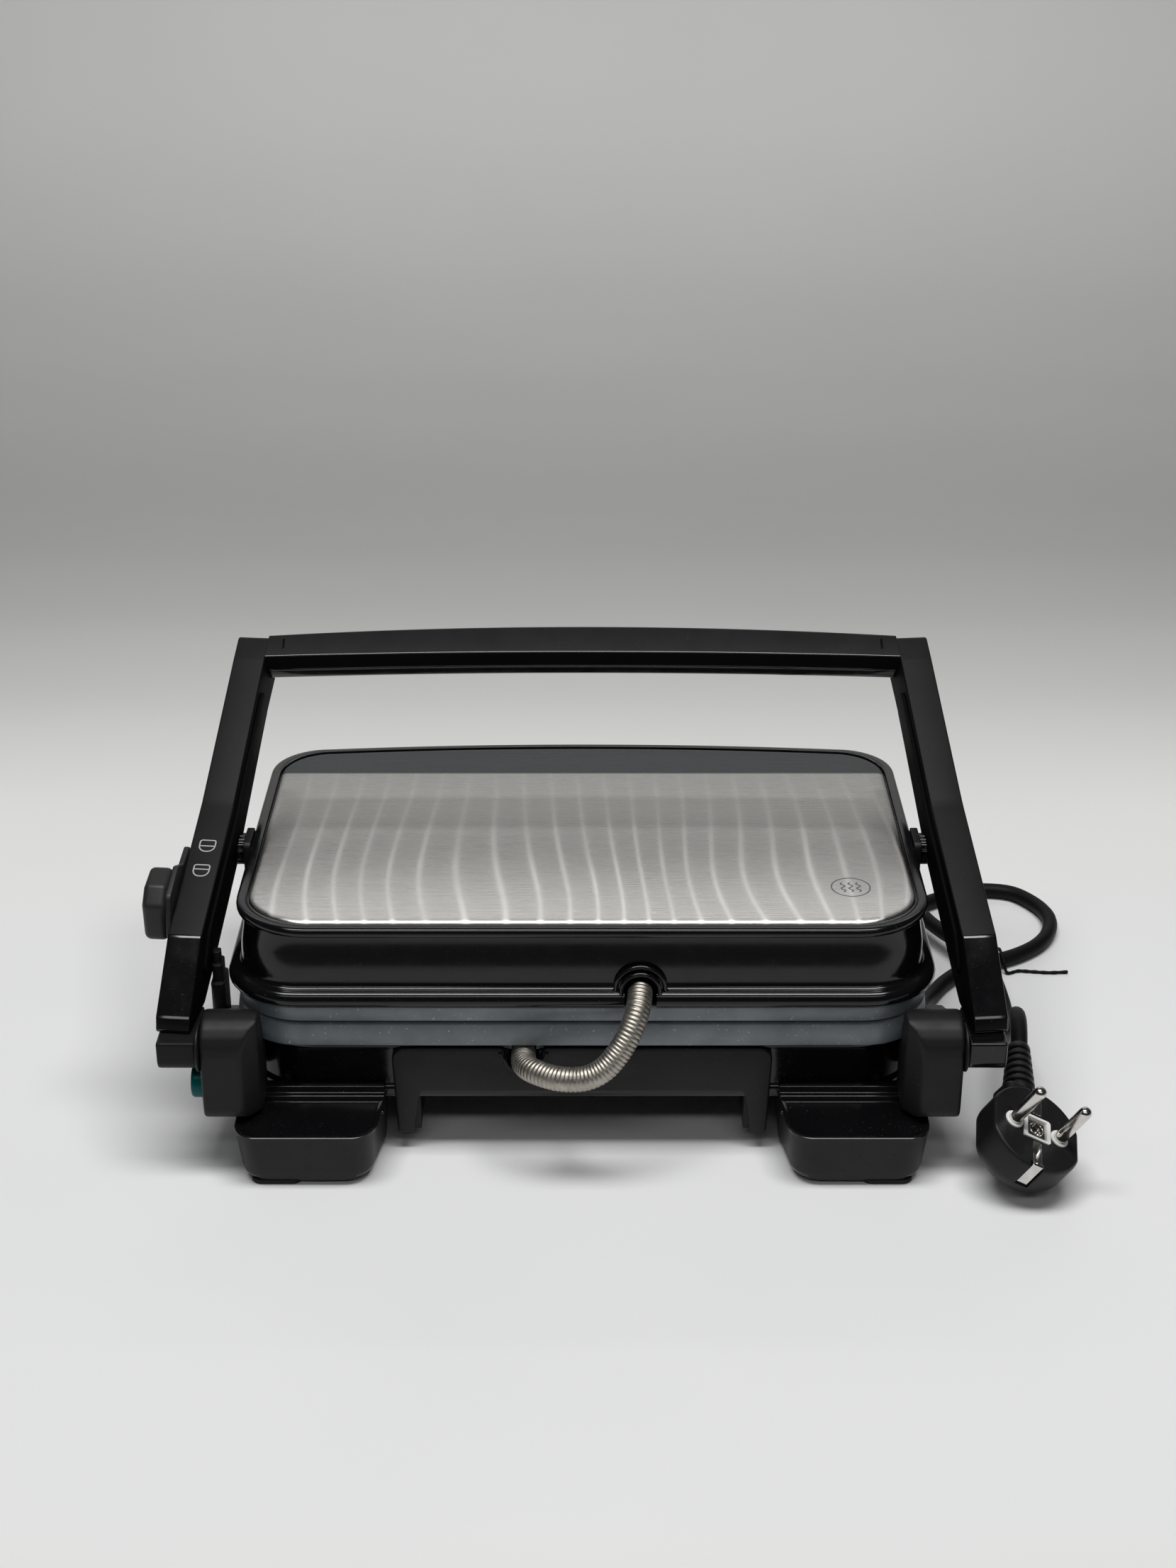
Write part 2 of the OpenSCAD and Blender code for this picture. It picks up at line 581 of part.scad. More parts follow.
module plug_body() color([0.07, 0.07, 0.075]) difference() {
    in_plug() {
        translate([0, 0, -9]) cylinder(h = 18, r = plug_r);
        translate([0, 0, -3]) rotate([-90, 0, 0]) cylinder(h = 26, r = 9);
        translate([0, 26, -3]) rotate([-90, 0, 0]) cylinder(h = 24, r1 = 6, r2 = 4.2);
    }
    in_plug() translate([0, 0, 7.2]) cube([11.4, 11, 4], center = true);
    in_plug() for (x = [-9.5, 9.5]) translate([x, 0, 7]) cylinder(h = 5, r = 3.6);
    in_plug() for (y = [-18.2, 18.2]) translate([0, y, 4]) cube([5, 4, 12], center = true);
}
module plug_pins() color([0.85, 0.85, 0.86]) in_plug() for (x = [-9.5, 9.5]) {
    translate([x, 0, 9]) cylinder(h = 17.2, r = 2.4);
    translate([x, 0, 26.2 - eps]) cylinder(h = 1.8, r1 = 2.4, r2 = 1.2);
}
module plug_collars() color([0.92, 0.92, 0.9]) in_plug() for (x = [-9.5, 9.5]) difference() {
    translate([x, 0, 7]) cylinder(h = 2.4, r = 3.6);
    translate([x, 0, 9]) cylinder(h = 2.4, r = 2.4);
}
module plug_insert() color([0.9, 0.9, 0.88]) in_plug() difference() {
    translate([0, 0, 7.4]) cube([11.4, 11, 4.4], center = true);
    translate([0, 0, 7]) cylinder(h = 5, r = 2.5);
}
module plug_earth_clips() color([0.8, 0.8, 0.8]) in_plug()
    for (y = [-1, 1]) translate([0, y * 17.4, 4.2]) cube([4.8, 2, 11.4], center = true);

module cord_tie() color([0.04, 0.04, 0.04])
    tube(smooth([[166, 71.5, 0.8], [172, 73.2, 1.5], [176.5, 72.2, 6.2], [179, 67.6, 8.8], [180.8, 63, 5.4],
        [185, 60.8, 1.2], [195, 60, 0.8], [206, 60, 0.8]], 3), 0.7, 8);

placed() base_housing();
placed() base_bottom_cover();
placed() base_screws();
placed() foot_pads();
placed() plate_posts();
placed() lower_plate();
placed() lower_plate_screws();
placed() lower_reflector();
placed() lower_element();
placed() thermostat();
placed() terminal_block();
placed() hinge_block_left();
placed() hinge_block_right();
placed() hinge_pin_left();
placed() hinge_pin_right();
placed() latch_post();
placed() power_lamp();
placed() ready_lamp();
placed() cord_gland();
placed() drip_tray();
placed() arm_left();
placed() arm_right();
placed() arm_liner_left();
placed() arm_liner_right();
placed() hinge_eye_left();
placed() hinge_eye_right();
placed() pivot_pin_left();
placed() pivot_pin_right();
placed() handle_bar();
placed() handle_grip();
placed() handle_screws();
placed() lock_lever();
placed() release_button();
placed() release_spring();
placed() lid_housing();
placed() lid_panel();
placed() pivot_block_left();
placed() pivot_block_right();
placed() upper_plate();
placed() upper_plate_screws();
placed() upper_reflector();
placed() upper_element();
placed() thermal_cutout();
placed() conduit_grommet();
placed() flex_conduit();
placed() power_cord();
placed() plug_body();
placed() plug_pins();
placed() plug_collars();
placed() plug_insert();
placed() plug_earth_clips();
placed() cord_tie();
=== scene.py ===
"""Contact grill with a floating lid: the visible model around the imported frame.

Lengths in the shape code are millimetres, measured from the object's own symmetry
plane; row() turns them into the row frame, in metres.
"""
import json
from math import atan2, cos, pi, radians, sin, tan

import bmesh
import bpy
from mathutils import Matrix, Vector


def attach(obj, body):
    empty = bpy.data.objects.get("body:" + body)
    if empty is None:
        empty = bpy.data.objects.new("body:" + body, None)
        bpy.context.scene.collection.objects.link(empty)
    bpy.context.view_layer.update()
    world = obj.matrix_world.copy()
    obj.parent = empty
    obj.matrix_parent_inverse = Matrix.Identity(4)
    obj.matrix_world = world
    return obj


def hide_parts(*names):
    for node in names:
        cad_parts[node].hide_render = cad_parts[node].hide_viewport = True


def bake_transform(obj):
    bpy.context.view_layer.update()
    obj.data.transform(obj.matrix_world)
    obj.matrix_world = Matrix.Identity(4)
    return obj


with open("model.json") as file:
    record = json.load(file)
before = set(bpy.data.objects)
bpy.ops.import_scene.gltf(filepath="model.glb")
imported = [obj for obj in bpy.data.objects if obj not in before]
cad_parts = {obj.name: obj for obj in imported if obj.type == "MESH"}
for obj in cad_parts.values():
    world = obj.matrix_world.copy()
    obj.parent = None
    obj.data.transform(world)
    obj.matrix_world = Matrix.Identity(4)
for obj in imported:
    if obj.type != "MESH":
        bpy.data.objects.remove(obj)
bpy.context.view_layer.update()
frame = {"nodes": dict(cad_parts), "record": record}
nodes = frame["nodes"]
scene = bpy.context.scene

MID_X = 4  # the symmetry plane, in the row frame
MM = 0.001


def row(p):
    """A point of the shape code in the row frame, in metres."""
    return Vector(((p[0] + MID_X) * MM, p[1] * MM, p[2] * MM))


def add_object(name, data):
    """A new object, linked to the scene."""
    added = bpy.data.objects.new(name, data)
    scene.collection.objects.link(added)
    return added


# ---------- camera ----------

camera_data = bpy.data.cameras.new("camera")
camera_data.lens = 54.1
camera_data.sensor_width = 36
camera_data.clip_start = 0.01
camera = add_object("camera", camera_data)
camera.location = (0.0062, -0.816, 0.509)
camera.rotation_euler = (radians(64.5), 0, 0)
scene.camera = camera

# ---------- materials ----------

COLOR_A, COLOR_B, COLOR_OUT = 6, 7, 2  # the Mix node's sockets for colours
DRIFT = 45  # scale of the slow changes of tone over a moulding
BAND_PITCH = 0.0108  # between the painted highlight bands on the panel, and between the waves of its bump
PAINTED_FAR_REFLECTION = (0.0605, 0.0618)  # where the painted dark reflection along the panel's far edge sets in


class Graph:
    """A material's node tree, with a short way to add linked nodes."""

    def __init__(self, name):
        self.material = bpy.data.materials.new(name)
        self.material.use_nodes = True
        self.tree = self.material.node_tree
        self.shader = self.tree.nodes["Principled BSDF"]
        self.coord = self.add("TexCoord").outputs["Object"]

    def feed(self, socket, value):
        """Links a node's output to a socket, or sets the socket's own value."""
        if isinstance(value, bpy.types.NodeSocket):
            self.tree.links.new(value, socket)
        else:
            socket.default_value = value

    def add(self, kind, inputs=None, **settings):
        node = self.tree.nodes.new("ShaderNode" + kind)
        for key, value in settings.items():
            setattr(node, key, value)
        for key, value in (inputs or {}).items():
            self.feed(node.inputs[key], value)
        return node

    def stretched(self, scale):
        return self.add("Mapping", {"Vector": self.coord, "Scale": scale}).outputs[0]

    def noise(self, scale, detail=3, vector=None, rough=0.5):
        return self.add("TexNoise", {"Vector": vector or self.coord, "Scale": scale,
                        "Detail": detail, "Roughness": rough}).outputs[0]

    def ranged(self, value, a, b, low, high):
        return self.add("MapRange", {"Value": value, "From Min": a, "From Max": b,
                        "To Min": low, "To Max": high}).outputs[0]

    def swing(self, noise, low, high):
        """Maps the usual span of a noise, 0.3 to 0.7, to the span from low to high."""
        return self.ranged(noise, 0.3, 0.7, low, high)

    def math(self, operation, a, b=0):
        return self.add("Math", {0: a, 1: b}, operation=operation).outputs[0]

    def mix(self, factor, a, b, blend_type="MIX"):
        """Mixes two colours, each a node's output or a plain (r, g, b)."""
        a, b = [c if isinstance(c, bpy.types.NodeSocket) else (*c, 1) for c in (a, b)]
        node = self.add("Mix", {"Factor": factor, COLOR_A: a, COLOR_B: b},
                        data_type="RGBA", blend_type=blend_type)
        return node.outputs[COLOR_OUT]

    def bump(self, height, strength, distance, normal=None):
        inputs = {"Height": height, "Strength": strength, "Distance": distance}
        if normal:
            inputs["Normal"] = normal
        return self.add("Bump", inputs).outputs[0]

    def set(self, key, value):
        self.feed(self.shader.inputs[key], value)


def shades(color, spread):
    """A darker and a lighter tone of a colour."""
    return [c * (1 - spread) for c in color], [min(1, c * (1 + spread)) for c in color]


def moulded(name, color, rough, spread=0.12, grain=0.15, grain_scale=2600, dust=0.25, coat=0,
            dust_color=(0.25, 0.25, 0.26), spec=0.5):
    """Moulded, cast or plated surface: tone and gloss drift, fine grain and sparse dust."""
    g = Graph(name)
    tone = g.mix(g.swing(g.noise(DRIFT, 4), 0, 1), *shades(color, spread))
    specks = g.ranged(g.noise(1500, 1.5), 0.70, 0.76, 0, 1)
    patches = g.ranged(g.noise(60, 2), 0.4, 0.7, 0.15, 1)
    dusty = g.math("MULTIPLY", g.math("MULTIPLY", specks, patches), dust)
    g.set("Base Color", g.mix(dusty, tone, dust_color))
    wander = g.swing(g.noise(DRIFT * 2.3, 5, rough=0.6), rough - 0.04, rough + 0.04)
    g.set("Roughness", g.math("ADD", wander, g.math("MULTIPLY", dusty, 0.5)))
    g.set("Specular IOR Level", spec)
    if coat:
        g.set("Coat Weight", coat)
        g.set("Coat Roughness", 0.04)
    if grain:
        g.set("Normal", g.bump(g.noise(grain_scale, 3), grain, 0.0001))
    return g.material


def coated_plate(name, color):
    """Sprayed non-stick coating: fine pebble, pale metallic specks and hairline scuffs."""
    g = Graph(name)
    tone = g.mix(g.swing(g.noise(70, 4), 0, 1), *shades(color, 0.15))
    specks = g.ranged(g.noise(900, 1), 0.715, 0.745, 0, 0.75)
    scuffs = g.ranged(g.noise(260, 3, g.stretched((1, 9, 9))), 0.68, 0.74, 0, 0.22)
    g.set("Base Color", g.mix(g.math("MAXIMUM", specks, scuffs), tone, (0.45, 0.47, 0.48)))
    g.set("Roughness", g.swing(g.noise(180, 4), 0.36, 0.5))
    g.set("Metallic", 0.25)
    g.set("Normal", g.bump(g.noise(2400, 3), 0.25, 0.00015))
    return g.material


def brushed_panel(name, color):
    """Steel brushed from side to side, its sheet bumped into slight waves. Highlight bands are painted down
    it, brighter towards the near edge, and a dark reflection is painted along its far edge.
    """
    g = Graph(name)
    x, y = g.add("SeparateXYZ", {0: g.coord}).outputs[:2]
    near = g.ranged(y, 0.075, -0.065, 0, 1)
    lines = g.noise(100, 6, g.stretched((0.25, 34, 1)), rough=0.7)
    fine = g.noise(420, 3, g.stretched((0.12, 20, 1)))
    sway = g.math("SUBTRACT", g.noise(15, 0, g.stretched((0.85, 0.55, 1))), 0.5)
    reach = g.ranged(near, 0.1, 1, 0.005, 0.04)
    swayed = g.math("ADD", x, g.math("MULTIPLY", sway, reach))
    wave = g.math("COSINE", g.math("MULTIPLY", swayed, 2 * pi / BAND_PITCH))
    band = g.ranged(wave, -1, 1, 0, 1)
    crest = g.math("POWER", band, 14)
    shoulder = g.math("POWER", band, 2)
    uneven = g.swing(g.noise(60, 2, g.stretched((1, 0.3, 1))), 0.45, 1)
    highlight_rise = g.math("POWER", near, 1.5)
    painted_streak = g.math("MULTIPLY", g.math("MULTIPLY", crest, uneven), highlight_rise)
    painted_glow = g.math("MULTIPLY", g.math("MULTIPLY", shoulder, 0.22), highlight_rise)
    # painted light: the sheet lighter towards its near edge, darker towards its far one
    tone = g.mix(g.math("POWER", near, 2), [c * 0.62 for c in color], [c * 1.22 for c in color])
    # painted highlight: a bright streak on each wave, in a fainter painted glow
    tone = g.mix(g.math("ADD", painted_glow, g.math("MULTIPLY", painted_streak, 0.95)), tone, (1, 0.985, 0.955))
    tone = g.mix(g.swing(lines, 0, 0.2), tone, [c * 0.5 for c in color])
    tone = g.mix(g.ranged(fine, 0.62, 0.75, 0, 0.15), tone, (0.95, 0.94, 0.92))
    # painted reflection: a dark band along the far edge
    tone = g.mix(g.ranged(y, *PAINTED_FAR_REFLECTION, 0, 0.97), tone, (0.04, 0.045, 0.049))
    g.set("Base Color", tone)
    g.set("Metallic", 1)
    g.set("Roughness", g.math("ADD", g.swing(lines, 0.24, 0.33), g.math("MULTIPLY", painted_streak, 0.12)))
    g.set("Anisotropic", 0.7)
    g.set("Tangent", g.add("Tangent", direction_type="UV_MAP").outputs[0])
    g.set("Normal", g.bump(lines, 0.1, 0.0001, g.bump(wave, 0.5, 0.00006)))
    return g.material


def turned_metal(name, color, rough=0.22, spread=0.1):
    """Turned, drawn or rolled metal: slow drift of tone and gloss, and a fine grain."""
    g = Graph(name)
    g.set("Base Color", g.mix(g.swing(g.noise(300, 4), 0, 1), *shades(color, spread)))
    g.set("Metallic", 1)
    g.set("Roughness", g.swing(g.noise(500, 4), rough - 0.06, rough + 0.08))
    g.set("Normal", g.bump(g.noise(1800, 3), 0.08, 0.0001))
    return g.material


MATERIALS = {
    "black_gloss": moulded("gloss black moulding", (0.0035, 0.0035, 0.004), 0.14, grain=0.03, grain_scale=900,
                           spec=0.42),
    "black_matte": moulded("matte black moulding", (0.0065, 0.0065, 0.007), 0.5, grain=0.35, spec=0.28),
    "dark_grey": moulded("dark arm lacquer", (0.009, 0.009, 0.0095), 0.42, grain=0.25, dust=0.12, spec=0.16),
    "lever_grey": moulded("grey lever", (0.017, 0.0173, 0.0178), 0.42, spread=0.08, grain=0.3, dust=0.1,
                          spec=0.35),
    "button_teal": moulded("teal button", (0, 0.1, 0.104), 0.3, spread=0.1, grain=0.1, dust=0, spec=0.15),
    "lamp_red": moulded("red lamp lens", (0.5, 0.015, 0.01), 0.12, grain=0.05, coat=1, dust=0.05),
    "lamp_green": moulded("green lamp lens", (0.015, 0.4, 0.05), 0.12, grain=0.05, coat=1, dust=0.05),
    "plate_coating": coated_plate("non-stick coating", (0.165, 0.186, 0.2)),
    "panel_steel": brushed_panel("brushed panel steel", (0.66, 0.645, 0.62)),
    "bright_steel": turned_metal("bright steel", (0.62, 0.61, 0.6)),
    "conduit_steel": turned_metal("wound conduit steel", (0.40, 0.37, 0.325), 0.44, 0.16),
    "element_steel": turned_metal("heat-stained steel", (0.2, 0.18, 0.16), 0.42, 0.3),
    "reflector_sheet": turned_metal("reflector sheet", (0.75, 0.75, 0.76), 0.3),
    "ceramic": moulded("ceramic", (0.75, 0.73, 0.66), 0.6, spread=0.06, grain=0.3,
                       dust_color=(0.3, 0.28, 0.25)),
    "pad_rubber": moulded("pad rubber", (0.012, 0.012, 0.012), 0.75, grain=0.5, spec=0.3),
    "lead_rubber": moulded("lead rubber", (0.003, 0.003, 0.0034), 0.5, grain=0.3, dust=0.25, spec=0.14),
    "plug_black": moulded("plug body", (0.007, 0.007, 0.0075), 0.42, grain=0.35, grain_scale=3200, dust=0.3,
                          spec=0.3),
    "white_plastic": moulded("white plastic", (0.8, 0.8, 0.78), 0.4, spread=0.05, grain=0.1, dust=0.2,
                             dust_color=(0.3, 0.29, 0.27)),
    "nickel": turned_metal("nickel plate", (0.66, 0.64, 0.61), 0.15),
}
ARM_GLOSS = moulded("glossy arm side", (0.004, 0.004, 0.0045), 0.11, grain=0.02, grain_scale=700, spec=0.5)
ARM_SHADE = moulded("shaded arm side", (0.004, 0.004, 0.0045), 0.6, grain=0.2, dust=0, spec=0.03)
MARK_INK = moulded("printed mark", (0.4, 0.4, 0.4), 0.5, spread=0.05, grain=0, dust=0)
ETCHED = moulded("etched mark", (0.09, 0.09, 0.095), 0.5, spread=0.05, grain=0, dust=0)

slot_of = {entry["node"]: entry["material_slot"] for entry in frame["record"]["subparts"]}
for node_name, node_object in nodes.items():
    for material_slot in node_object.material_slots:
        material_slot.link = "OBJECT"
        material_slot.material = MATERIALS[slot_of[node_name]]

# ---------- mesh tools ----------

SHARP = 38  # degrees; steeper edges stay sharp in the shading


def make(name, verts, faces, at=None, sharp=SHARP):
    """A mesh object from millimetre points; at is a matrix from a piece's own frame."""
    mesh = bpy.data.meshes.new(name)
    points = [at @ Vector(v) for v in verts] if at else verts
    mesh.from_pydata([row(p) for p in points], [], faces)
    work = bmesh.new()
    work.from_mesh(mesh)
    bmesh.ops.remove_doubles(work, verts=work.verts, dist=1e-6)
    bmesh.ops.recalc_face_normals(work, faces=work.faces)
    work.to_mesh(mesh)
    work.free()
    piece = add_object(name, mesh)
    shade(piece, sharp)
    return piece


def shade(piece, sharp=SHARP):
    piece.data.shade_smooth()
    piece.data.set_sharp_from_angle(angle=radians(sharp))


def modify(piece, kind, **settings):
    """Adds a modifier and turns it into mesh."""
    modifier = piece.modifiers.new(kind.lower(), kind)
    for key, value in settings.items():
        setattr(modifier, key, value)
    bpy.context.view_layer.update()
    graph = bpy.context.evaluated_depsgraph_get()
    mesh = bpy.data.meshes.new_from_object(piece.evaluated_get(graph))
    piece.modifiers.clear()
    piece.data = mesh


def bevelled(piece, width, segments=3, angle=30):
    """Rounds the edges that turn by more than the angle."""
    modify(piece, "BEVEL", width=width * MM, segments=segments, limit_method="ANGLE",
           angle_limit=radians(angle), use_clamp_overlap=True, harden_normals=False)
    shade(piece)
    return piece


def cut(piece, tool):
    """Cuts a tool out of a piece, and uses the tool up."""
    modify(piece, "BOOLEAN", object=tool, operation="DIFFERENCE", solver="EXACT")
    bpy.data.objects.remove(tool)


def from_bmesh(name, work):
    mesh = bpy.data.meshes.new(name)
    work.to_mesh(mesh)
    work.free()
    return add_object(name, mesh)


def join(name, pieces):
    """One object from several, as a plain joining of their meshes."""
    work = bmesh.new()
    for piece in pieces:
        work.from_mesh(piece.data)
        bpy.data.objects.remove(piece)
    joined = from_bmesh(name, work)
    shade(joined)
    return joined


def softened(piece, voxel, rounds):
    """Rounds every edge, as a soft moulding has them."""
    modify(piece, "REMESH", mode="VOXEL", voxel_size=voxel * MM)
    modify(piece, "SMOOTH", factor=0.5, iterations=rounds)
    shade(piece, 60)
    return piece


def cad_copy(node, name):
    """A welded copy of a CAD node's mesh, free to be worked on."""
    work = bmesh.new()
    work.from_mesh(nodes[node].data)
    bmesh.ops.remove_doubles(work, verts=work.verts, dist=2e-6)
    bmesh.ops.dissolve_limit(work, angle_limit=radians(1), verts=work.verts, edges=work.edges)
    return from_bmesh(name, work)


def place(piece, body, slot, *stands_for, material=None, more=()):
    """Gives a finished piece its materials, its body and the nodes it stands for."""
    piece.data.materials.clear()
    for each in (material or MATERIALS[slot], *more):
        piece.data.materials.append(each)
    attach(piece, body)
    if stands_for:
        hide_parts(*stands_for)
    return piece


def bridge(piece, slot):
    """Gives a piece its material, and bakes its place into its mesh."""
    piece.data.materials.append(MATERIALS[slot])
    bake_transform(piece)


# ---------- outlines ----------


def arc(cx, cy, r, a0, a1, n=12):
    """Points of an arc from angle a0 to angle a1, in degrees."""
    return [(cx + r * cos(radians(a0 + (a1 - a0) * i / n)),
             cy + r * sin(radians(a0 + (a1 - a0) * i / n))) for i in range(n + 1)]


def plan(hw, y0, y1, rr, rf, bow):
    """Plan outline of a plate or lid: round corners and a bowed front edge."""
    front = [(-t / 15 * (hw - rf), y1 - bow * (t / 15) ** 2) for t in range(-14, 15)]
    return (arc(-(hw - rr), y0 + rr, rr, 180, 270) + arc(hw - rr, y0 + rr, rr, 270, 360)
            + arc(hw - rf, y1 - bow - rf, rf, 0, 90) + front + arc(-(hw - rf), y1 - bow - rf, rf, 90, 180))


def plan_rings(shape, profile):
    """Rings of a plan outline: each profile point is (inset, height)."""
    hw, y0, y1, rr, rf, bow = shape
    rings = []
    for inset, z in profile:
        outline = plan(hw - inset, y0 + inset, y1 - inset, max(rr - inset, 2), max(rf - inset, 2), bow)
        rings.append([(x, y, z) for x, y in outline])
    return rings


OPEN = (False, False)  # caps of a skin that closes on its axis


def loft(name, rings, caps=(True, True), closed=False, **kw):
    """Skin over rings of points; closed joins the last ring to the first."""
    n = len(rings[0])
    verts = [p for ring in rings for p in ring]
    faces = []
    count = len(rings)
    for i in range(count if closed else count - 1):
        a, b = i * n, (i + 1) % count * n
        faces += [(a + k, a + (k + 1) % n, b + (k + 1) % n, b + k) for k in range(n)]
    if not closed:
        if caps[0]:
            faces.append(tuple(range(n - 1, -1, -1)))
        if caps[1]:
            faces.append(tuple(range((count - 1) * n, count * n)))
    return make(name, verts, faces, **kw)


def filleted(corners, segments=8):
    """Corners are (a, b, radius); returns the outline with round corners."""
    out = []
    n = len(corners)
    for i, (px, py, r) in enumerate(corners):
        p = Vector((px, py))
        before = (Vector(corners[i - 1][:2]) - p)
        after = (Vector(corners[(i + 1) % n][:2]) - p)
        half = before.angle(after) / 2
        if r <= 0 or half > radians(89.5):
            out.append((px, py))
            continue
        reach = min(r / tan(half), before.length * 0.49, after.length * 0.49)
        r = reach * tan(half)
        start, end = p + before.normalized() * reach, p + after.normalized() * reach
        middle = p + (before.normalized() + after.normalized()).normalized() * (r / sin(half))
        a0 = atan2(*(start - middle).yx)
        swept = (atan2(*(end - middle).yx) - a0 + pi) % (2 * pi) - pi
        out += [(middle.x + r * cos(a0 + swept * k / segments),
                 middle.y + r * sin(a0 + swept * k / segments)) for k in range(segments + 1)]
    return out


def rounded_box(half, v0, v1, r, segments=8):
    """Outline of a rectangle with round corners."""
    return filleted([(-half, v0, r), (half, v0, r), (half, v1, r), (-half, v1, r)], segments)


AXES = {"x": lambda u, v, w: (w, u, v), "y": lambda u, v, w: (u, w, v), "z": lambda u, v, w: (u, v, w)}


def prism(name, outline, w0, w1, along="x", bevel=0.8, segments=3, **kw):
    """Extrudes an outline along an axis, with rounded edges."""
    put = AXES[along]
    piece = loft(name, [[put(u, v, w) for u, v in outline] for w in (w0, w1)], **kw)
    return bevelled(piece, bevel, segments) if bevel else piece


def lathe(name, profile, sides=40, **kw):
    """Turns an (r, z) profile about Z; the ends close on the axis or as discs."""
    rings = [[(r * cos(2 * pi * k / sides), r * sin(2 * pi * k / sides), z)
              for k in range(sides)] for r, z in profile]
    return loft(name, rings, **kw)


def cuboid(x0, x1, y0, y1, z0, z1, name="box", bevel=0, **kw):
    return prism(name, [(x0, y0), (x1, y0), (x1, y1), (x0, y1)], z0, z1, along="z", bevel=bevel, **kw)


def turn(x, y, z):
    """OpenSCAD's rotate([x, y, z])."""
    return (Matrix.Rotation(radians(z), 4, "Z") @ Matrix.Rotation(radians(y), 4, "Y")
            @ Matrix.Rotation(radians(x), 4, "X"))


def moved(x, y, z):
    return Matrix.Translation((x, y, z))


def mirror(side):
    """Mirrors a piece to the left for side -1."""
    return Matrix.Diagonal((side, 1, 1, 1))


# ---------- routes ----------


def smooth_path(points, per):
    """Catmull-Rom curve through the points, with a number of steps to each span."""
    out = []
    p = [Vector(q) for q in points]
    n = len(p)
    for i in range(n - 1):
        a = p[i - 1] if i else 2 * p[0] - p[1]
        b, c = p[i], p[i + 1]
        d = p[i + 2] if i + 2 < n else 2 * p[n - 1] - p[n - 2]
        for k in range(per):
            t = k / per
            out.append(0.5 * (2 * b + (c - a) * t + (2 * a - 5 * b + 4 * c - d) * t * t
                              + (3 * b - a - 3 * c + d) * t ** 3))
    return out + [p[-1]]


def resampled(points, step):
    """Points at equal steps along a line."""
    out = [points[0]]
    walked, need = 0, step
    for a, b in zip(points, points[1:]):
        length = (b - a).length
        while walked + length >= need:
            out.append(a.lerp(b, (need - walked) / length))
            need += step
        walked += length
    return out


def tube(name, points, radius, sides=20, **kw):
    """Tube along points; radius(i, angle share) gives each point's distance from the line."""
    tangents = [(points[min(i + 1, len(points) - 1)] - points[max(i - 1, 0)]).normalized()
                for i in range(len(points))]
    side = tangents[0].cross(Vector((0.13, 0.21, 1))).normalized()
    rings = []
    for i, (p, t) in enumerate(zip(points, tangents)):
        side = (side - t * side.dot(t)).normalized()
        up = t.cross(side)
        rings.append([tuple(p + radius(i, k / sides) * (cos(2 * pi * k / sides) * side
                      + sin(2 * pi * k / sides) * up)) for k in range(sides)])
    return loft(name, rings, **kw)


# ---------- mains lead, with its plug, gland and tie ----------

CORD_ROUTE = [
    (136, -7.5, 21.9), (136.8, 4, 17.8), (138.8, 15, 12), (141.5, 26, 6.8), (146, 37, 3.8),
    (153, 48.5, 3.4), (163, 59, 3.4), (175, 65.5, 3.4), (187.5, 72, 3.4), (198.5, 81.5, 3.4),
    (205.5, 94, 3.4), (207, 107.5, 3.4), (202, 120.5, 3.4), (192.5, 130, 3.4), (175.5, 131, 3.4),
    (159.5, 122.5, 3.4), (143, 112.5, 3.4), (127, 109, 3.4), (112, 112, 3.4), (101, 121.5, 3.4),
    (95.8, 136, 3.4), (95, 153, 3.4), (95, 171, 3.4), (95, 189, 3.4), (95, 205, 3.4), (95, 220, 3.4),
    (95, 235, 3.4), (101.7, 251.3, 3.4), (118, 258, 3.4), (134.3, 251.3, 3.4), (141, 235, 3.4),
    (141, 220, 3.4), (141, 203, 3.4), (141, 184, 3.4), (141, 165, 3.4), (141, 147, 3.9), (142, 130, 7.8),
    (145, 114, 10.7), (150, 98, 8.6), (157, 83, 8.6), (164, 70, 10.2), (169.5, 58, 10.8), (173, 46, 8),
    (174.8, 34, 4.6), (174.8, 22, 3.7), (173.8, 11, 6), (172.6, 0.6, 12.4), (171.6, -9.3, 21.6),
    (170.7, -19, 28.4), (169.7, -28, 30.9), (168.6, -36.5, 30.4), (167.6, -43.3, 28.6)]
CORD_D = 6.5
PLUG = moved(162, -92, 17.9) @ turn(17, 27, 0)
GLAND = moved(134.5, -34, 31) @ turn(-109, 0, -3)
GLAND_LENGTH = 28
PIN_X = 9.5  # the plug's pins, from its axis


def mains_lead():
    """The lead, as a bevelled curve along its route."""
    curve = bpy.data.curves.new("mains_lead", "CURVE")
    curve.dimensions = "3D"
    curve.bevel_depth = CORD_D / 2 * MM
    curve.bevel_resolution = 6
    curve.use_fill_caps = True
    spline = curve.splines.new("POLY")
    cord_points = smooth_path(CORD_ROUTE, 5)
    spline.points.add(len(cord_points) - 1)
    for point, p in zip(spline.points, cord_points):
        point.co = (*row(p), 1)
    spline.use_smooth = True
    return place(add_object("mains_lead", curve), "base", "lead_rubber", "power_cord")


